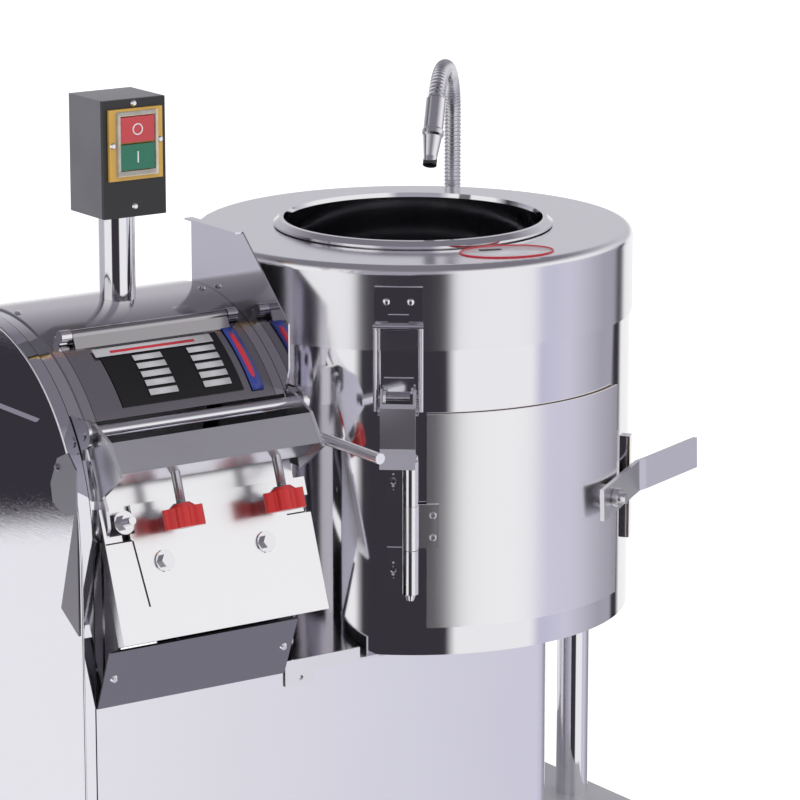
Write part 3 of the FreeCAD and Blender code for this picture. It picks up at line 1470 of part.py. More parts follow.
def ribbed_run(start, direction, length):
    """Ruled lofts through four circles for each rib, along one straight line."""
    pitch = hose_pitch.value
    count = max(1, int(length / pitch))
    step = length / count
    outer = hose_radius.value
    low = outer - hose_rib.value
    wires = []
    for index in range(count):
        for share, radius in ((0.0, low), (0.2, outer), (0.6, outer), (0.8, low)):
            centre = start + direction * (step * (index + share))
            wires.append(Part.Wire(Part.Circle(centre, direction, radius).toShape()))
    wires.append(Part.Wire(Part.Circle(start + direction * length, direction, low).toShape()))
    return wires


def hose():
    out = V(0.702, 0.712, 0)
    spot = V(drum_x.value, drum_y.value, 0) + out * (lid_radius.value + 14)
    base_z = seam_z.value - 30
    bend = hose_bend.value
    rise = lid_top.value + 68 - base_z
    inward = out * -1
    wires = []
    pitch = hose_pitch.value
    outer = hose_radius.value
    low = outer - hose_rib.value
    turn = math.radians(148)
    straight = rise
    total = straight + bend * turn
    count = int(total / pitch)
    step = total / count
    line = []
    for index in range(count):
        for share, radius in ((0.0, low), (0.25, outer), (0.6, outer), (0.85, low)):
            line.append((step * (index + share), radius))
    line.append((total, low))
    side = out.cross(UP)
    for travel, radius in line:
        if travel <= straight:
            centre = V(spot.x, spot.y, base_z + travel)
            ahead = UP
        else:
            angle = (travel - straight) / bend
            pivot = V(spot.x, spot.y, base_z + straight) + inward * bend
            centre = pivot - inward * (bend * math.cos(angle)) + UP * (bend * math.sin(angle))
            ahead = inward * math.sin(angle) + UP * math.cos(angle)
        wires.append(ring_wire(centre, ahead, side, radius))
    shell = Part.makeLoft(wires, True, True)
    bore_line = Part.makeLine(V(spot.x, spot.y, base_z), V(spot.x, spot.y, base_z + straight))
    top = V(spot.x, spot.y, base_z + straight)
    pivot = top + inward * bend
    middle = pivot - inward * (bend * math.cos(turn / 2)) + UP * (bend * math.sin(turn / 2))
    end = pivot - inward * (bend * math.cos(turn)) + UP * (bend * math.sin(turn))
    bend_line = Part.Arc(top, middle, end).toShape()
    path = Part.Wire([bore_line, bend_line])
    circle = Part.Wire(Part.Circle(V(spot.x, spot.y, base_z), UP, hose_bore.value).toShape())
    bore = path.makePipeShell([circle], True, False)
    thing = doc.addObject("Part::Feature", "water_hose")
    thing.Shape = shell.cut(bore)
    part("water_hose", thing)

    ahead = inward * math.sin(turn) + UP * math.cos(turn)
    nozzle(end, ahead)
    clamp_z = base_z - 22
    fitting = Part.makeCylinder(9.5, 22, V(spot.x, spot.y, clamp_z), UP)
    inlet = Part.makeCylinder(7, 26, V(spot.x, spot.y, clamp_z - 26), UP)
    back_end = V(drum_x.value, drum_y.value, 0) + out * drum_radius.value
    arm = Part.makeBox(18, 16, 14, V(0, -8, 0), UP)
    arm.Placement = FreeCAD.Placement(
        V(back_end.x, back_end.y, clamp_z + 2),
        FreeCAD.Rotation(UP, math.degrees(math.atan2(out.y, out.x))),
    )
    solid = fitting.fuse([inlet, arm])
    keep_out = Part.makeCylinder(
        drum_radius.value + 0.05, 400, V(drum_x.value, drum_y.value, deck_top.value), UP
    )
    through = Part.makeCylinder(hose_bore.value, 120, V(spot.x, spot.y, clamp_z - 60), UP)
    thing = doc.addObject("Part::Feature", "hose_fitting")
    thing.Shape = solid.cut(keep_out).cut(through)
    part("hose_fitting", thing)


def ring_wire(centre, ahead, side, radius):
    """A circle whose seam stays on one side, so that a loft through many doesn't twist."""
    up = ahead.cross(side)
    circle = Part.Circle(centre, ahead, radius)
    circle.XAxis = side
    return Part.Wire(circle.toShape())


def nozzle(end, ahead):
    profile = [
        (hose_bore.value, 0),
        (9.5, 0),
        (9.5, 30),
        (10.5, 32),
        (10.5, 36),
        (9.0, 38),
        (6.5, 58),
        (6.5, 66),
        (4.2, 66),
        (4.2, 40),
        (hose_bore.value, 34),
        (hose_bore.value, 0),
    ]
    points = [V(r, 0, z) for r, z in profile]
    face = Part.Face(Part.makePolygon(points))
    solid = face.revolve(V(0, 0, 0), UP, 360)
    thing = doc.addObject("Part::Feature", "hose_nozzle")
    thing.Shape = solid
    thing.Placement = FreeCAD.Placement(end, FreeCAD.Rotation(UP, ahead))
    part("hose_nozzle", thing)


doc.recompute()
base_tray()
ledge = cabinet()
arch()
front_cover()
splash_guard()
clamp()
slicing_front(ledge)
rotor_bearings = slicing_drive()
slicer_motor, rotor_belt = rotor_motor()
door, gasket = drum()
lid(gasket)
keeper = door_hardware(door)
latches(keeper)
peeling_drive(slicer_motor, rotor_belt, rotor_bearings)
switch()
columns()
hose()
part("panel_screws", group("panel_screws_all", *screws_on_frame))
doc.recompute()

faults = [o.Name for o in doc.Objects if "Invalid" in o.State or "Error" in o.State]
for thing in parts:
    shape = thing.Shape
    if shape.isNull() or not shape.isValid() or not shape.Solids:
        faults.append(thing.Label)
if faults:
    raise RuntimeError("failed objects: " + ", ".join(faults))

os.makedirs("parts", exist_ok=True)
for thing in parts:
    thing.Shape.exportStep(f"parts/{thing.Label}.step")
print(len(parts), "parts")
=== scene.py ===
"""Looks of the electric potato peeler with its slicing head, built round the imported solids."""

import math

import bmesh
import bpy
from mathutils import Matrix, Vector


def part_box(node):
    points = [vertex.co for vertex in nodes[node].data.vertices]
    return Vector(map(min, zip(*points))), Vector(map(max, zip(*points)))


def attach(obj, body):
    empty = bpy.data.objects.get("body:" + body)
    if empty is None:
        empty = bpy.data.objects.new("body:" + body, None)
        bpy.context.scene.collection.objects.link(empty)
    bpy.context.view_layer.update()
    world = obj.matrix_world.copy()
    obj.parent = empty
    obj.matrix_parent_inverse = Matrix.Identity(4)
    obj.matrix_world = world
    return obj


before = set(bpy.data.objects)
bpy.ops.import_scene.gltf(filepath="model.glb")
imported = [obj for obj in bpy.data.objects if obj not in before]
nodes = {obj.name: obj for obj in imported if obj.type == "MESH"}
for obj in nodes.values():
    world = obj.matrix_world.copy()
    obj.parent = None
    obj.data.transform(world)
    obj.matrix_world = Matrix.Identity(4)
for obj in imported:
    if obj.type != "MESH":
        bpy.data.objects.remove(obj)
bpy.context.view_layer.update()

MM = 0.001
UP = Vector((0, 0, 1))

# The drum's axis at the lid's top, where every place below is measured from
DRUM_TOP = Vector((0.104, 0.0185, 0.620))
LID_RADIUS = 200 * MM
DRUM_RADIUS = 198 * MM

# The arch over the slicing rotor
ARCH_RADIUS = 172.5 * MM
ARCH_BACK = 27.5 * MM
ARCH_DROP = 208 * MM


def place(across, back, up):
    """A point in millimetres from the drum's axis at the lid's top."""
    return DRUM_TOP + Vector((across, back, up)) * MM


# Camera of the photograph
CAMERA_SPOT = place(-2059, -3004, 691)
CAMERA_DOWN = math.radians(13.23)
CAMERA_TURN = math.radians(34.24)
CAMERA_SENSOR = 36
CAMERA_LENS = 183.15
CAMERA_REACH = 50

camera_data = bpy.data.cameras.new("photo_camera")
camera_data.sensor_width = CAMERA_SENSOR
camera_data.lens = CAMERA_LENS
camera_data.clip_end = CAMERA_REACH
camera = bpy.data.objects.new("photo_camera", camera_data)
camera.location = CAMERA_SPOT
camera.rotation_euler = (math.pi / 2 - CAMERA_DOWN, 0, -CAMERA_TURN)
bpy.context.scene.collection.objects.link(camera)
bpy.context.scene.camera = camera
bpy.context.scene.view_settings.view_transform = "Standard"


# Shader maths written as plain expressions
class Amount:
    """A number that changes over a surface."""

    def __init__(self, finish, socket):
        self.finish = finish
        self.socket = socket

    def maths(self, operation, *values, clamp=False):
        settings = {"operation": operation, "use_clamp": clamp}
        return self.finish.value("ShaderNodeMath", settings, dict(enumerate(values)))

    def __add__(self, other):
        return self.maths("ADD", self, other)

    def __radd__(self, other):
        return self.maths("ADD", other, self)

    def __sub__(self, other):
        return self.maths("SUBTRACT", self, other)

    def __rsub__(self, other):
        return self.maths("SUBTRACT", other, self)

    def __mul__(self, other):
        return self.maths("MULTIPLY", self, other)

    def __rmul__(self, other):
        return self.maths("MULTIPLY", other, self)

    def __truediv__(self, other):
        return self.maths("DIVIDE", self, other)

    def __gt__(self, other):
        return self.maths("GREATER_THAN", self, other)

    def __lt__(self, other):
        return self.maths("LESS_THAN", self, other)

    def fraction(self):
        return self.maths("FRACT", self)

    def size(self):
        return self.maths("ABSOLUTE", self)

    def clamped(self):
        return self.maths("ADD", self, 0, clamp=True)


def colour(value):
    """Gives three numbers the fourth that a colour socket takes; a link stays as it is."""
    return (*value, 1) if isinstance(value, tuple) else value


class Finish:
    """Adds nodes to one material or world."""

    def __init__(self, tree):
        self.tree = tree
        tree.nodes.clear()

    def node(self, kind, settings=None, inputs=None):
        added = self.tree.nodes.new(kind)
        for name, value in (settings or {}).items():
            if name == "stops":
                self.set_stops(added.color_ramp, value)
            else:
                setattr(added, name, value)
        for name, value in (inputs or {}).items():
            if isinstance(value, Amount):
                value = value.socket
            if isinstance(value, bpy.types.NodeSocket):
                self.tree.links.new(value, added.inputs[name])
            else:
                added.inputs[name].default_value = value
        return added

    def set_stops(self, ramp, stops):
        while len(ramp.elements) < len(stops):
            ramp.elements.new(1)
        for element, (position, shade) in zip(ramp.elements, stops):
            element.position = position
            element.color = colour(shade)

    def value(self, kind, settings=None, inputs=None, output=0):
        return Amount(self, self.node(kind, settings, inputs).outputs[output])

    def axes(self, vector):
        """The three parts of a vector, as amounts."""
        parts = self.node("ShaderNodeSeparateXYZ", inputs={0: vector})
        return [Amount(self, parts.outputs[index]) for index in range(3)]

    def where(self):
        """The place on the object, in metres."""
        return self.node("ShaderNodeTexCoord").outputs["Object"]

    def stretched(self, scale):
        """The place on the object, scaled apart along X, Y and Z."""
        inputs = {"Vector": self.where(), "Scale": scale}
        return self.node("ShaderNodeMapping", inputs=inputs).outputs[0]

    def noise(self, scale, detail=2, vector=None, roughness=0.5):
        inputs = {
            "Vector": vector or self.where(),
            "Scale": scale,
            "Detail": detail,
            "Roughness": roughness,
        }
        return self.value("ShaderNodeTexNoise", None, inputs)

    def mix(self, share, first, second):
        """A colour between two, by a share from 0 to 1."""
        ends = {0: share, 6: colour(first), 7: colour(second)}
        return self.node("ShaderNodeMix", {"data_type": "RGBA"}, ends).outputs[2]

    def bump(self, height, distance, normal=None):
        """A raised surface, distance in metres, over another one where normal is given."""
        inputs = {"Height": height, "Distance": distance, "Strength": 1.0}
        if normal is not None:
            inputs["Normal"] = normal
        return self.node("ShaderNodeBump", inputs=inputs).outputs[0]


PLAIN_GREY = (0.6, 0.6, 0.62, 1)


def material(name, recipe, **values):
    """A material whose recipe returns the sockets of its Principled shader."""
    made = bpy.data.materials.new(name)
    made.use_nodes = True
    finish = Finish(made.node_tree)
    shader = finish.node("ShaderNodeBsdfPrincipled", inputs=recipe(finish, **values))
    finish.node("ShaderNodeOutputMaterial", inputs={"Surface": shader.outputs[0]})
    made.diffuse_color = PLAIN_GREY
    return made


# Metals
def steel(finish, tint, rough, wave=0.25, grain=(30, 30, 1600), brush=0.06, smudge=0.05):
    """Sheet steel: brushed lines along the sheet, a slight wave, and rubbed patches."""
    lines = finish.noise(1, 3, finish.stretched(grain), 0.7)
    patches = finish.noise(9, 4)
    sheet_wave = finish.noise(7, 1)
    shade = (lines - 0.5) * brush + (patches - 0.5) * smudge
    dark = tuple(part * 0.82 for part in tint)
    bright = tuple(min(part * 1.1, 1) for part in tint)
    wavy = finish.bump(sheet_wave, wave * MM)
    return {
        "Base Color": finish.mix((shade * 2 + 0.5).clamped(), dark, bright),
        "Metallic": 1.0,
        "Roughness": (rough + shade * 0.6).clamped(),
        "Normal": finish.bump(lines, 0.004 * MM, wavy),
    }


def cast_metal(finish, tint, rough, lump=0.15, scale=160):
    """Cast or painted metal with a pebbled skin and patchy wear."""
    pebble = finish.noise(scale, 4)
    wear = finish.noise(22, 5)
    dark = tuple(part * 0.72 for part in tint)
    return {
        "Base Color": finish.mix(wear, dark, tint),
        "Metallic": 0.6,
        "Roughness": (rough + (wear - 0.5) * 0.2).clamped(),
        "Normal": finish.bump(pebble, lump * MM),
    }


def travel(finish, along):
    """How far each place lies along a direction, in metres."""
    x, y, z = finish.axes(finish.where())
    return x * along.x + y * along.y + z * along.z


def threaded(finish, tint, rough, along, pitch):
    """A screw rod: its thread shows as rings along its own direction, with painted shade darkening the
    grooves.
    """
    ring = ((travel(finish, along) * (1 / (pitch * MM))).fraction() - 0.5).size() * 2
    wear = finish.noise(90, 3)
    # Painted shade: the colour is darkened in the thread's grooves.
    dark = tuple(part * 0.35 for part in tint)
    return {
        "Base Color": finish.mix((ring * 1.3).clamped(), dark, tint),
        "Metallic": 1.0,
        "Roughness": (rough + (wear - 0.5) * 0.1).clamped(),
        "Normal": finish.bump(ring, 0.35 * MM),
    }


def zoned(finish, first, second, share):
    """Two finishes on one solid; share is 0 where the first shows and 1 where the second does."""
    joined = {}
    for name in ("Base Color", "Metallic", "Roughness", "Normal", "Alpha"):
        if name not in first and name not in second:
            continue
        plain = {"Metallic": 0.0, "Alpha": 1.0}.get(name)
        here = first.get(name, plain)
        there = second.get(name, plain)
        if name == "Base Color":
            joined[name] = finish.mix(share, here, there)
        elif name == "Normal":
            ends = {0: share, 4: here, 5: there}
            joined[name] = finish.node("ShaderNodeMix", {"data_type": "VECTOR"}, ends).outputs[1]
        elif here == there:
            joined[name] = here
        else:
            joined[name] = here * (1 - share) + there * share
    return joined


# Plastics, rubber and prints
def plastic(finish, tint, rough, grain=0.03, scale=900, wear=0.12):
    """Moulded plastic with a fine grain and slightly rubbed areas."""
    pits = finish.noise(scale, 3)
    rubbed = finish.noise(35, 4)
    dark = tuple(part * (1 - wear) for part in tint)
    bright = tuple(min(part * (1 + wear) + 0.01, 1) for part in tint)
    return {
        "Base Color": finish.mix(rubbed, dark, bright),
        "Roughness": (rough + (rubbed - 0.5) * 0.2).clamped(),
        "Normal": finish.bump(pits, grain * MM),
        "Coat Weight": 0.15,
    }


def clear_plastic(finish, tint, rough):
    """A clear moulded cover, a little cloudy in patches."""
    haze = finish.noise(60, 3)
    return {
        "Base Color": finish.mix(haze, tint, (1, 1, 1)),
        "Roughness": (rough + haze * 0.1).clamped(),
        "Alpha": (0.3 + haze * 0.25).clamped(),
        "Normal": finish.bump(haze, 0.1 * MM),
    }


def knob_and_rod(finish, along, knob_start):
    """Red moulded knob on a threaded steel rod; they meet at one distance along the rod."""
    rod = threaded(finish, (0.80, 0.79, 0.82), 0.22, along, THREAD_PITCH)
    knob = plastic(finish, (0.50, 0.012, 0.012), 0.3)
    return zoned(finish, rod, knob, travel(finish, along) > knob_start)


def split_by(finish, axis, limit, below, above):
    """One finish below a limit along an axis, another above it."""
    recipe, values = below
    low = recipe(finish, **values)
    recipe, values = above
    high = recipe(finish, **values)
    return zoned(finish, low, high, finish.axes(finish.where())[axis] > limit)


def grit(finish, tint):
    """Abrasive grains set in a dark binder."""
    cells = finish.value("ShaderNodeTexVoronoi", None, {"Vector": finish.where(), "Scale": 700})
    spread = finish.noise(40, 5)
    dark = tuple(part * 0.3 for part in tint)
    return {
        "Base Color": finish.mix((cells * 1.6).clamped(), tint, dark),
        "Roughness": (0.75 + spread * 0.2).clamped(),
        "Normal": finish.bump(cells, 0.9 * MM),
    }


def printed(finish, tint, rough):
    """Print on thin metal foil, faintly mottled."""
    mottle = finish.noise(260, 4)
    dark = tuple(part * 0.8 for part in tint)
    return {
        "Base Color": finish.mix(mottle, dark, tint),
        "Roughness": (rough + (mottle - 0.5) * 0.15).clamped(),
        "Normal": finish.bump(mottle, 0.02 * MM),
    }


SILVER = (0.83, 0.82, 0.85)
LAVENDER = (0.80, 0.79, 0.85)
SCREW_TILT = math.radians(38)
SCREW_ALONG = Vector((0, -math.sin(SCREW_TILT), -math.cos(SCREW_TILT)))
THREAD_PITCH = 1.25
KNOB_HEIGHT = 23 * MM
BETWEEN_BRACKETS = -300 * MM
NOZZLE_TIP = 9 * MM
COVER_FRAME_DEPTH = 3.9 * MM

mirror_steel = material("mirror_steel", steel, tint=SILVER, rough=0.07, wave=0.5, brush=0.03)
lid_steel = material("lid_steel", steel, tint=SILVER, rough=0.16, wave=0.2, brush=0.05)
door_steel = material("door_steel", steel, tint=(0.88, 0.87, 0.89), rough=0.25, wave=0.15, brush=0.05)
wrap_steel = material("wrap_steel", steel, tint=(0.84, 0.83, 0.87), rough=0.2, wave=0.12, brush=0.03)
panel_steel = material("panel_steel", steel, tint=LAVENDER, rough=0.02, wave=0.08, brush=0.01, smudge=0.01)
arch_steel = material(
    "arch_steel", steel, tint=(0.70, 0.68, 0.71), rough=0.13, wave=0.35, grain=(30, 1600, 1600)
)
cover_steel = material(
    "cover_steel", steel, tint=(0.46, 0.44, 0.46), rough=0.16, wave=0.3, grain=(30, 900, 900), brush=0.12
)
satin_steel = material(
    "satin_steel", steel, tint=(0.80, 0.79, 0.82), rough=0.3, wave=0.1, grain=(30, 900, 900), brush=0.1
)
plate_steel = material(
    "plate_steel", steel, tint=(0.90, 0.89, 0.91), rough=0.22, wave=0.15, grain=(30, 900, 900)
)
beam_steel = material(
    "beam_steel", steel, tint=(0.96, 0.95, 1.0), rough=0.24, wave=0.1, grain=(30, 900, 900), brush=0.12
)
dark_steel = material(
    "dark_steel", steel, tint=(0.26, 0.25, 0.28), rough=0.36, wave=0.2, grain=(30, 700, 700), brush=0.2
)
liner_steel = material("liner_steel", steel, tint=(0.22, 0.22, 0.24), rough=0.42, brush=0.15)
bright_steel = material("bright_steel", steel, tint=SILVER, rough=0.12, wave=0.05, brush=0.08)
hose_steel = material("hose_steel", steel, tint=(0.72, 0.71, 0.74), rough=0.24, brush=0.1)
shaft_steel = material("shaft_steel", steel, tint=(0.66, 0.66, 0.68), rough=0.3, brush=0.1)


def knob_foot(node):
    """How far along the rod the red knob begins: its own height before the solid's end."""
    return max(vertex.co.dot(SCREW_ALONG) for vertex in nodes[node].data.vertices) - KNOB_HEIGHT


left_knob = material(
    "left_knob", knob_and_rod, along=SCREW_ALONG, knob_start=knob_foot("knob_left")
)
right_knob = material(
    "right_knob", knob_and_rod, along=SCREW_ALONG, knob_start=knob_foot("knob_right")
)
bracket_finish = material(
    "bracket_finish",
    split_by,
    axis=0,
    limit=BETWEEN_BRACKETS,
    below=(steel, {"tint": (0.30, 0.29, 0.32), "rough": 0.3, "wave": 0.1}),
    above=(steel, {"tint": (0.84, 0.83, 0.85), "rough": 0.25, "wave": 0.1}),
)
nozzle_finish = material(
    "nozzle_finish",
    split_by,
    axis=2,
    limit=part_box("hose_nozzle")[0].z + NOZZLE_TIP,
    below=(plastic, {"tint": (0.02, 0.02, 0.022), "rough": 0.5}),
    above=(steel, {"tint": SILVER, "rough": 0.14, "wave": 0.05, "brush": 0.08}),
)
surround_finish = material(
    "surround_finish",
    split_by,
    axis=1,
    limit=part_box("button_surround")[0].y + COVER_FRAME_DEPTH,
    below=(clear_plastic, {"tint": (0.80, 0.72, 0.55), "rough": 0.12}),
    above=(plastic, {"tint": (0.60, 0.36, 0.07), "rough": 0.35}),
)
tray_metal = material("tray_metal", cast_metal, tint=(0.72, 0.72, 0.74), rough=0.45, lump=0.03)
cast_iron = material("cast_iron", cast_metal, tint=(0.42, 0.43, 0.45), rough=0.55)
motor_paint = material("motor_paint", cast_metal, tint=(0.10, 0.19, 0.30), rough=0.45, lump=0.08)
box_paint = material("box_paint", cast_metal, tint=(0.27, 0.265, 0.28), rough=0.34, lump=0.02)
black_plastic = material("black_plastic", plastic, tint=(0.007, 0.007, 0.008), rough=0.42)
red_button = material("red_button", plastic, tint=(0.52, 0.045, 0.055), rough=0.28)
green_button = material("green_button", plastic, tint=(0.008, 0.15, 0.085), rough=0.28)
plate_black = material("plate_black", printed, tint=(0.005, 0.005, 0.0055), rough=0.5)
plate_silver = material("plate_silver", printed, tint=(0.56, 0.55, 0.57), rough=0.34)
# Painted shade: a near-black finish laid where gaps in the sheet show dark.
painted_gap_shade = material("painted_gap_shade", printed, tint=(0.008, 0.008, 0.009), rough=0.6)
label_blue = material("label_blue", printed, tint=(0.035, 0.06, 0.30), rough=0.3)
label_red = material("label_red", printed, tint=(0.62, 0.03, 0.05), rough=0.3)
white_print = material("white_print", printed, tint=(0.85, 0.84, 0.84), rough=0.35)
label_film = material("label_film", clear_plastic, tint=(0.80, 0.78, 0.84), rough=0.15)
rubber = material("rubber", plastic, tint=(0.02, 0.02, 0.02), rough=0.8, grain=0.1, scale=300)
seal_rubber = material("seal_rubber", plastic, tint=(0.30, 0.19, 0.09), rough=0.6, grain=0.2, scale=240)
belt_rubber = material("belt_rubber", plastic, tint=(0.03, 0.03, 0.032), rough=0.7, grain=0.1, scale=400)
abrasive = material("abrasive", grit, tint=(0.16, 0.15, 0.15))
weld_metal = material("weld_metal", cast_metal, tint=(0.62, 0.60, 0.60), rough=0.3, lump=0.3, scale=700)

NODE_FINISH = {
    mirror_steel: "drum_shell drum_brackets mouth_rim support_columns switch_post splash_guard "
    "arch_band",
    lid_steel: "lid_ring",
    door_steel: "discharge_door",
    wrap_steel: "cabinet_shell service_cover deck",
    panel_steel: "left_end_panel",
    arch_steel: "arch_skin",
    cover_steel: "front_cover",
    satin_steel: "cheeks door_handle latch_lever",
    beam_steel: "clamp_beam",
    bracket_finish: "side_brackets",
    plate_steel: "blade_plate",
    dark_steel: "lower_guard knife_bar",
    liner_steel: "drum_liner",
    bright_steel: "clamp_rod cover_hinge_rod hinge_and_pin latch_loop plate_bolts panel_screws "
    "hose_fitting",
    nozzle_finish: "hose_nozzle",
    hose_steel: "water_hose",
    shaft_steel: "disc_shaft rotor_shaft peeler_motor_rotor slicer_motor_rotor shaft_bearings",
    tray_metal: "base_tray",
    cast_iron: "bearing_housing slicing_housing rotor drain_pipe",
    motor_paint: "drive_motors",
    box_paint: "switch_box",
    black_plastic: "face_plate contact_block cable_gland",
    surround_finish: "button_surround",
    left_knob: "knob_left",
    right_knob: "knob_right",
    red_button: "off_button",
    green_button: "on_button",
    plate_black: "rating_plate",
    rubber: "rubber_feet pressure_pad_left pressure_pad_right",
    seal_rubber: "rubber_seals",
    belt_rubber: "drive_belts",
    abrasive: "abrasive_disc",
}
for finish_of_nodes, names in NODE_FINISH.items():
    for name in names.split():
        surfaces = nodes[name].data.materials
        surfaces.clear()
        surfaces.append(finish_of_nodes)
unfinished = set(nodes) - {n for names in NODE_FINISH.values() for n in names.split()}
if unfinished:
    raise ValueError(f"nodes without a finish: {sorted(unfinished)}")


# Small pieces laid on the metal
def finished(name, mesh_maker, surface, body, smooth=True):
    """Links a mesh as a piece that moves with one body."""
    mesh = bpy.data.meshes.new(name)
    mesh_maker.normal_update()
    bmesh.ops.recalc_face_normals(mesh_maker, faces=mesh_maker.faces)
    mesh_maker.to_mesh(mesh)
    mesh_maker.free()
    mesh.materials.append(surface)
    if smooth:
        mesh.shade_smooth()
    piece = bpy.data.objects.new(name, mesh)
    bpy.context.scene.collection.objects.link(piece)
    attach(piece, body)


def on_arch(across, angle, lift):
    """A point on the arch: millimetres across, degrees above the front, metres of lift."""
    turn = math.radians(angle)
    reach = ARCH_RADIUS + lift
    centre = DRUM_TOP + Vector((0, ARCH_BACK, -ARCH_DROP))
    return centre + Vector((across * MM, -reach * math.cos(turn), reach * math.sin(turn)))


def on_drum(angle, up, lift, radius=DRUM_RADIUS):
    """A point on the drum: degrees round from the front, millimetres up, metres of lift."""
    turn = math.radians(angle)
    reach = radius + lift
    return DRUM_TOP + Vector((reach * math.sin(turn), -reach * math.cos(turn), up * MM))


def out_of_drum(angle):
    """The direction straight out of the drum's wall, by degrees round from the front."""
    turn = math.radians(angle)
    return Vector((math.sin(turn), -math.cos(turn), 0))


def ribbon(maker, spot, middle, half, start, end, steps, low, high):
    """A thin closed patch: rows from start to end, each as wide as half says."""
    rows = []
    for step in range(steps + 1):
        along = start + (end - start) * step / steps
        left = middle(along) - half(along)
        right = middle(along) + half(along)
        corners = ((left, low), (right, low), (right, high), (left, high))
        rows.append([maker.verts.new(spot(across, along, lift)) for across, lift in corners])
    for first, second in zip(rows, rows[1:]):
        for index in range(4):
            after = (index + 1) % 4
            maker.faces.new((first[index], first[after], second[after], second[index]))
    maker.faces.new(rows[0])
    maker.faces.new(rows[-1][::-1])


def oblong(maker, spot, left, right, start, end, low, high, steps=6):
    """A rectangular patch."""
    middle = (left + right) / 2
    half = (right - left) / 2
    ribbon(maker, spot, lambda along: middle, lambda along: half, start, end, steps, low, high)


def oval_points(count, across, up, spot):
    """Points round an oval with these half sizes, each put in its place by spot."""
    points = []
    for step in range(count):
        angle = 2 * math.pi * step / count
        points.append(spot(across * math.cos(angle), up * math.sin(angle)))
    return points


def thin_line(name, points, radius, surface, body, closed=True):
    """A thin rounded line through points."""
    line = bpy.data.curves.new(name, "CURVE")
    line.dimensions = "3D"
    line.bevel_depth = radius
    line.bevel_resolution = 3
    spline = line.splines.new("NURBS")
    spline.points.add(len(points) - 1)
    for point, spot in zip(spline.points, points):
        point.co = (*spot, 1)
    spline.use_cyclic_u = closed
    spline.order_u = 3
    spline.use_endpoint_u = not closed
    line.materials.append(surface)
    piece = bpy.data.objects.new(name, line)
    bpy.context.scene.collection.objects.link(piece)
    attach(piece, body)


def pressed(vertices, centre, outward, share):
    """Flattens a round drop or head by a share of its height."""
    for vertex in vertices:
        rise = (vertex.co - centre).dot(outward)
        vertex.co -= outward * (rise * share)


# Rating plate: a pale header with a red line, and two columns of pale cells.
# Millimetres across, and degrees up the arch
RATING_LEFT = -377
RATING_RIGHT = -257
RATING_RIM = 1.5
RATING_FACE = 1.95 * MM
RATING_PRINT = 2.05 * MM
HEADER_FOOT = 55.2
HEADER_HEAD = 58.4
HEADER_LINE = (-360, -276, 56.1, 57.1)
HEADER_LINE_FACE = 2.1 * MM
CELL_COLUMNS = ((-342, -314), (-288, -261))
CELL_ROWS = 5
CELL_FOOT = 40.2
CELL_STEP = 3.0
CELL_HEIGHT = 2.0


def rating_print():
    patches = [(RATING_LEFT + RATING_RIM, RATING_RIGHT - RATING_RIM, HEADER_FOOT, HEADER_HEAD)]
    for left, right in CELL_COLUMNS:
        for row in range(CELL_ROWS):
            foot = CELL_FOOT + row * CELL_STEP
            patches.append((left, right, foot, foot + CELL_HEIGHT))
    cells = bmesh.new()
    for patch in patches:
        oblong(cells, on_arch, *patch, RATING_FACE, RATING_PRINT)
    finished("plate_cells", cells, plate_silver, "cover")
    header = bmesh.new()
    oblong(header, on_arch, *HEADER_LINE, RATING_PRINT, HEADER_LINE_FACE)
    finished("plate_header_line", header, label_red, "cover")


# Label strip at the cover's right: a blue field and a red round-ended bar
STRIP_LEFT = -243
STRIP_RIGHT = -231
STRIP_FOOT = 37.2
STRIP_HEAD = 60.2
STRIP_BACK = 1.2 * MM
STRIP_FACE = 1.35 * MM
BAR_FOOT = 41
BAR_HEAD = 58
BAR_TIP = 0.2
BAR_SWELL = 2.6
BAR_FACE = 1.45 * MM


def label_strip():
    field = bmesh.new()
    oblong(field, on_arch, STRIP_LEFT, STRIP_RIGHT, STRIP_FOOT, STRIP_HEAD, STRIP_BACK, STRIP_FACE, 10)
    finished("label_field", field, label_blue, "cover")

    def bar_middle(angle):
        return (STRIP_LEFT + STRIP_RIGHT) / 2

    def bar_half(angle):
        """Nearly straight sides that close round at both ends."""
        share = abs(angle - (BAR_FOOT + BAR_HEAD) / 2) / ((BAR_HEAD - BAR_FOOT) / 2)
        return BAR_TIP + BAR_SWELL * math.sqrt(max(0, 1 - share**4))

    bar = bmesh.new()
    ribbon(bar, on_arch, bar_middle, bar_half, BAR_FOOT, BAR_HEAD, 16, STRIP_FACE, BAR_FACE)
    finished("label_bar", bar, label_red, "cover")


# Oval clear label on the lid: a hazy film, a red edge and a short black bar.
# Half sizes and the bar's place are millimetres along and across the label
LABEL_MIDDLE = place(-8, -157, 0.2)
LABEL_TURN = math.radians(-20)
LABEL_LONG = 42
LABEL_WIDE = 27
LABEL_TIP = 0.004
LABEL_FACE = 0.15 * MM
LABEL_EDGE_LIFT = 0.2 * MM
LABEL_EDGE_RADIUS = 0.8 * MM
LABEL_BAR = (-22, -2, 8, 14)
LABEL_BAR_FACE = 0.3 * MM


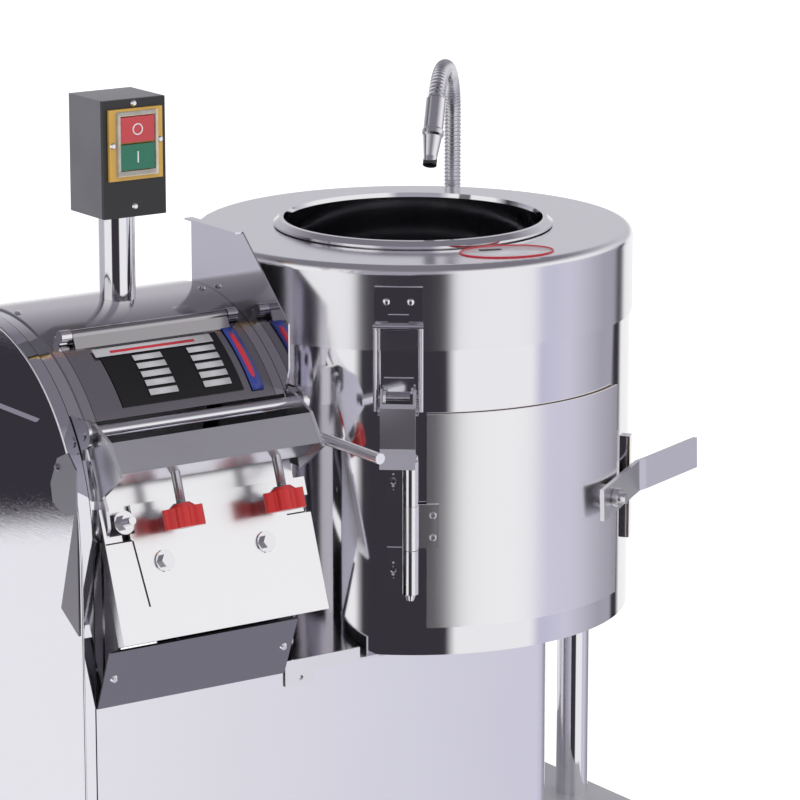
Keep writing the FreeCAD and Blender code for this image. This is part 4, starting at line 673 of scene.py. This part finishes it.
def lid_label():
    along = Vector((math.cos(LABEL_TURN), math.sin(LABEL_TURN), 0))
    aside = Vector((-math.sin(LABEL_TURN), math.cos(LABEL_TURN), 0))

    def on_lid(across, up, lift):
        return LABEL_MIDDLE + (along * across + aside * up) * MM + UP * lift

    def oval_half(up):
        return LABEL_LONG * math.sqrt(max(LABEL_TIP, 1 - (up / LABEL_WIDE) ** 2))

    film = bmesh.new()
    ribbon(film, on_lid, lambda up: 0, oval_half, -LABEL_WIDE, LABEL_WIDE, 24, 0, LABEL_FACE)
    finished("lid_label", film, label_film, "frame")
    edge = oval_points(36, LABEL_LONG, LABEL_WIDE, lambda across, up: on_lid(across, up, LABEL_EDGE_LIFT))
    thin_line("lid_label_edge", edge, LABEL_EDGE_RADIUS, label_red, "frame")
    bar = bmesh.new()
    oblong(bar, on_lid, *LABEL_BAR, LABEL_FACE, LABEL_BAR_FACE)
    finished("lid_label_bar", bar, plate_black, "frame")


# Marks on the two buttons: a ring on the red one, a stroke on the green one
MARK_LIFT = 0.1 * MM
RING_SIZE = 4.6
RING_RADIUS = 0.6 * MM
STROKE_SIZE = 5
STROKE_RADIUS = 0.7 * MM


def button_marks():
    off_low, off_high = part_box("off_button")
    on_low, on_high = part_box("on_button")

    def on_face(low, high):
        """Places points in millimetres on one button's front face."""
        middle = (low + high) / 2
        return lambda across, up: Vector((middle.x + across * MM, low.y - MARK_LIFT, middle.z + up * MM))

    ring = oval_points(24, RING_SIZE, RING_SIZE, on_face(off_low, off_high))
    thin_line("off_mark", ring, RING_RADIUS, white_print, "stop_button")
    on_spot = on_face(on_low, on_high)
    stroke = [on_spot(0, rise) for rise in (-STROKE_SIZE, 0, STROKE_SIZE)]
    thin_line("on_mark", stroke, STROKE_RADIUS, white_print, "start_button", False)


# Welds beside the door hinge: upright rows of overlapping drops of weld metal
HINGE_WELDS = (("frame", -39.3, -192), ("frame", -39.3, -272), ("door", -31.4, -231))
WELD_LIFT = {"frame": 0.4 * MM, "door": 4.2 * MM}
WELD_LENGTH = 14
DROP_STEP = 2.4
DROP_RADIUS = 1.7
DROP_SWELL = 0.4
DROP_SWELL_TURN = 1.7
DROP_WOBBLE = 0.5
DROP_WOBBLE_TURN = 2.3
DROP_LIFT = 0.2 * MM
DROP_PRESS = 0.35


def weld(name, spot, outward, body):
    drops = bmesh.new()
    count = int(WELD_LENGTH / DROP_STEP)
    for index in range(count):
        share = index / (count - 1) - 0.5
        wobble = math.sin(index * DROP_WOBBLE_TURN) * DROP_WOBBLE
        centre = spot + UP * (share * WELD_LENGTH * MM) + outward * DROP_LIFT
        centre = centre + outward.cross(UP) * (wobble * MM)
        swell = (DROP_RADIUS + DROP_SWELL * math.sin(index * DROP_SWELL_TURN)) * MM
        at_centre = Matrix.Translation(centre)
        made = bmesh.ops.create_icosphere(drops, subdivisions=2, radius=swell, matrix=at_centre)
        pressed(made["verts"], centre, outward, DROP_PRESS)
    finished(name, drops, weld_metal, body)


def hinge_welds():
    for index, (body, angle, up) in enumerate(HINGE_WELDS):
        spot = on_drum(angle, up, WELD_LIFT[body])
        weld(f"hinge_weld_{index}", spot, out_of_drum(angle), body)


# The blade plate's plane, measured from its top edge
PLATE_TILT = math.radians(19.5)
PLATE_DOWN = Vector((0, -math.sin(PLATE_TILT), -math.cos(PLATE_TILT)))
PLATE_OUT = Vector((0, -math.cos(PLATE_TILT), math.sin(PLATE_TILT)))
PLATE_EDGE_BACK = -146
PLATE_EDGE_UP = -176


def on_plate(across, down, lift):
    """A point in the blade plate's plane: millimetres across, millimetres down from its top edge."""
    edge = place(across, PLATE_EDGE_BACK, PLATE_EDGE_UP)
    return edge + PLATE_DOWN * (down * MM) + PLATE_OUT * lift


# Lip of the slicing housing behind the blade plate's top edge
LIP_LEFT = -410
LIP_RIGHT = -222
LIP_TOP = -24
LIP_FOOT = 6
LIP_BACK = -6.2 * MM
LIP_FRONT = -5.2 * MM
FOLD_RADIUS = 1.1 * MM


def housing_lip():
    lip = bmesh.new()
    oblong(lip, on_plate, LIP_LEFT, LIP_RIGHT, LIP_TOP, LIP_FOOT, LIP_BACK, LIP_FRONT, 8)
    finished("housing_lip", lip, plate_steel, "frame", False)
    middle = (LIP_LEFT + LIP_RIGHT) / 2
    depth = (LIP_BACK + LIP_FRONT) / 2
    fold = [on_plate(across, LIP_TOP, depth) for across in (LIP_LEFT, middle, LIP_RIGHT)]
    thin_line("housing_lip_fold", fold, FOLD_RADIUS, bright_steel, "frame", False)


# Cut lines in the blade plate's face, drawn as thin strips of painted shade. Straight ones: left, right,
# top, foot and rows
STRAIGHT_SLITS = (
    (-417.5, -392, 29.2, 30.4, 1),
    (-238, -219.6, 29.6, 30.8, 1),
    (-220.4, -219.2, 16, 29.6, 2),
)
SLANT_START = -391.5
SLANT_TOP = 30
SLANT_FOOT = 87
SLANT_LEAN = 0.085
SLANT_HALF = 0.8
SLIT_BACK = 0.04 * MM
SLIT_FACE = 0.12 * MM


def plate_slits():
    slits = bmesh.new()
    for left, right, top, foot, rows in STRAIGHT_SLITS:
        oblong(slits, on_plate, left, right, top, foot, SLIT_BACK, SLIT_FACE, rows)

    def slant_middle(down):
        return SLANT_START + (down - SLANT_TOP) * SLANT_LEAN

    def slant_half(down):
        return SLANT_HALF

    ribbon(slits, on_plate, slant_middle, slant_half, SLANT_TOP, SLANT_FOOT, 4, SLIT_BACK, SLIT_FACE)
    finished("plate_slits", slits, painted_gap_shade, "front_plate", False)


# Bright bent edge of the left end panel and the seam beside it, drawn as a line of painted shade
PANEL_HEIGHTS = (-552, -440, -330, -250)
CROWN_STEPS = 18
PANEL_EDGE_ACROSS = -434.2
PANEL_EDGE_INSET = 1.2
PANEL_EDGE_RADIUS = 1.5 * MM
PANEL_SEAM_ACROSS = -423.6
PANEL_SEAM_INSET = 0.3
PANEL_SEAM_RADIUS = 0.7 * MM


def arch_line(across, inset):
    """Points up the panel's front, over the arch and down its back."""
    middle = ARCH_BACK / MM
    reach = ARCH_RADIUS / MM - inset
    front = [place(across, middle - reach, up) for up in PANEL_HEIGHTS]
    rear = [place(across, middle + reach, up) for up in reversed(PANEL_HEIGHTS)]
    crown = []
    for step in range(CROWN_STEPS + 1):
        angle = math.pi * step / CROWN_STEPS
        up = -ARCH_DROP / MM + reach * math.sin(angle)
        crown.append(place(across, middle - reach * math.cos(angle), up))
    return front + crown + rear


def panel_edges():
    edge = arch_line(PANEL_EDGE_ACROSS, PANEL_EDGE_INSET)
    thin_line("panel_edge", edge, PANEL_EDGE_RADIUS, bright_steel, "frame", False)
    # Painted shade: the seam's gap drawn as a near-black line.
    seam = arch_line(PANEL_SEAM_ACROSS, PANEL_SEAM_INSET)
    thin_line("panel_seam", seam, PANEL_SEAM_RADIUS, painted_gap_shade, "frame", False)


# Rivets of the latch's strike on the lid
STRIKE_ANGLE = -38
STRIKE_UP = -31
STRIKE_LIFT = 2.2 * MM
RIVET_SPREAD = 3
RIVET_RADIUS = 3.2 * MM
RIVET_PRESS = 0.55


def strike_rivets():
    heads = bmesh.new()
    for side in (-1, 1):
        angle = STRIKE_ANGLE + side * RIVET_SPREAD
        centre = on_drum(angle, STRIKE_UP, STRIKE_LIFT, LID_RADIUS)
        at_centre = Matrix.Translation(centre)
        made = bmesh.ops.create_uvsphere(
            heads, u_segments=20, v_segments=12, radius=RIVET_RADIUS, matrix=at_centre
        )
        pressed(made["verts"], centre, out_of_drum(angle), RIVET_PRESS)
    finished("strike_rivets", heads, bright_steel, "frame")


housing_lip()
plate_slits()
panel_edges()
strike_rivets()
rating_print()
label_strip()
lid_label()
button_marks()
hinge_welds()


# Shades of the studio's surround, by degrees round from the camera's side to its right
WHITE = (1.0, 1.0, 1.0)
PALE = (0.62, 0.61, 0.76)
SOFT = (0.62, 0.61, 0.65)
GREY = (0.42, 0.41, 0.47)
DARK = (0.045, 0.04, 0.05)
WALL = (0.56, 0.55, 0.62)
OVERHEAD = (0.22, 0.21, 0.245)
EVEN = (0.74, 0.74, 0.77)
LOW_BANDS = (
    (-180, WHITE),
    (-142, WHITE),
    (-130, DARK),
    (-98, DARK),
    (-86, WHITE),
    (-31, WHITE),
    (-27, DARK),
    (17, DARK),
    (22, WHITE),
    (65, WHITE),
    (71, PALE),
    (90, (0.70, 0.69, 0.80)),
    (118, GREY),
    (131, GREY),
    (134, DARK),
    (140, DARK),
    (145, WHITE),
)
MIDDLE_BANDS = (
    (-180, SOFT),
    (-120, (0.4, 0.39, 0.43)),
    (-95, DARK),
    (-80, WHITE),
    (-35, WHITE),
    (-24, GREY),
    (14, GREY),
    (24, WHITE),
    (105, WHITE),
    (150, SOFT),
)
# Heights in degrees where the surround changes, and the share of a turn its left side takes
WALL_HEIGHT = -12.2
FLOOR_HEIGHT = -14.8
MIDDLE_HEIGHT = -2
OVERHEAD_HEIGHT = 22
LEFT_SIDE_MIDDLE = 0.19
LEFT_SIDE_HALF = 0.09


def studio():
    """A banded soft surround for metal, an even one for other light, white for the camera."""
    world = bpy.data.worlds.new("studio")
    bpy.context.scene.world = world
    world.use_nodes = True
    finish = Finish(world.node_tree)
    direction = finish.node("ShaderNodeTexCoord").outputs["Generated"]
    x, y, z = finish.axes(direction)
    camera_side = Vector((-math.sin(CAMERA_TURN), -math.cos(CAMERA_TURN), 0))
    camera_right = Vector((math.cos(CAMERA_TURN), -math.sin(CAMERA_TURN), 0))
    toward = x * camera_side.x + y * camera_side.y
    aside = x * camera_right.x + y * camera_right.y
    turn = aside.maths("ARCTAN2", aside, toward) / (2 * math.pi) + 0.5
    height = z.maths("ARCSINE", z) * (180 / math.pi)

    def bands(shades):
        stops = [((degrees + 180) / 360, shade) for degrees, shade in shades]
        return finish.node("ShaderNodeValToRGB", {"stops": stops}, {0: turn}).outputs[0]

    low = bands(LOW_BANDS)
    middle = bands(MIDDLE_BANDS)
    wall_seen = finish.mix(((height - WALL_HEIGHT) * 3).clamped(), low, WALL)
    floor_seen = finish.mix(((FLOOR_HEIGHT - height) * 6).clamped(), wall_seen, WHITE)
    left_side = (turn - LEFT_SIDE_MIDDLE).size() < LEFT_SIDE_HALF
    low_side = finish.mix(left_side, low, floor_seen)
    rising = finish.mix(((height - MIDDLE_HEIGHT) / 10).clamped(), low_side, middle)
    above = finish.mix(((height - OVERHEAD_HEIGHT) / 24).clamped(), rising, OVERHEAD)
    path = finish.node("ShaderNodeLightPath")
    seen = finish.mix(path.outputs["Is Glossy Ray"], EVEN, above)
    shown = finish.mix(path.outputs["Is Camera Ray"], seen, WHITE)
    background = finish.node("ShaderNodeBackground", inputs={"Color": shown, "Strength": 1.0})
    finish.node("ShaderNodeOutputWorld", inputs={"Surface": background.outputs[0]})


LAMP_SIZE = 1.8
LAMP_AIM = Vector((0, 0, 0.4))


def soft_lamp(name, spot, power):
    """A large square lamp that the metal doesn't mirror."""
    lamp_data = bpy.data.lights.new(name, "AREA")
    lamp_data.shape = "RECTANGLE"
    lamp_data.size = LAMP_SIZE
    lamp_data.size_y = LAMP_SIZE
    lamp_data.energy = power
    lamp = bpy.data.objects.new(name, lamp_data)
    lamp.location = spot
    lamp.rotation_euler = (LAMP_AIM - spot).to_track_quat("-Z", "Y").to_euler()
    lamp.visible_glossy = False
    bpy.context.scene.collection.objects.link(lamp)


FLOOR_RADIUS = 9
FLOOR_SIDES = 96
FLOOR_DARK = (0.86, 0.86, 0.87)
FLOOR_LIGHT = (0.9, 0.9, 0.9)
FLOOR_GLOW = 0.5


def floor():
    """A pale floor that shows white to the camera and still takes the shadow."""
    made = bmesh.new()
    bmesh.ops.create_circle(made, cap_ends=True, radius=FLOOR_RADIUS, segments=FLOOR_SIDES)
    mesh = bpy.data.meshes.new("studio_floor")
    made.to_mesh(mesh)
    made.free()
    surface = bpy.data.materials.new("floor_paper")
    surface.use_nodes = True
    finish = Finish(surface.node_tree)
    mottled = finish.mix(finish.noise(3, 2), FLOOR_DARK, FLOOR_LIGHT)
    paper = finish.node("ShaderNodeBsdfDiffuse", inputs={"Color": mottled})
    glow_inputs = {"Color": (1, 1, 1, 1), "Strength": FLOOR_GLOW}
    glow = finish.node("ShaderNodeEmission", inputs=glow_inputs)
    both = finish.node("ShaderNodeAddShader", inputs={0: paper.outputs[0], 1: glow.outputs[0]})
    path = finish.node("ShaderNodeLightPath")
    shown = finish.node(
        "ShaderNodeMixShader",
        inputs={0: path.outputs["Is Camera Ray"], 1: paper.outputs[0], 2: both.outputs[0]},
    )
    finish.node("ShaderNodeOutputMaterial", inputs={"Surface": shown.outputs[0]})
    mesh.materials.append(surface)
    sheet = bpy.data.objects.new("studio_floor", mesh)
    sheet.visible_glossy = False
    bpy.context.scene.collection.objects.link(sheet)


studio()
floor()
soft_lamp("key_lamp", Vector((-1.6, -2.6, 2.6)), 34)
soft_lamp("fill_lamp", Vector((2.6, -1.4, 2.0)), 12)
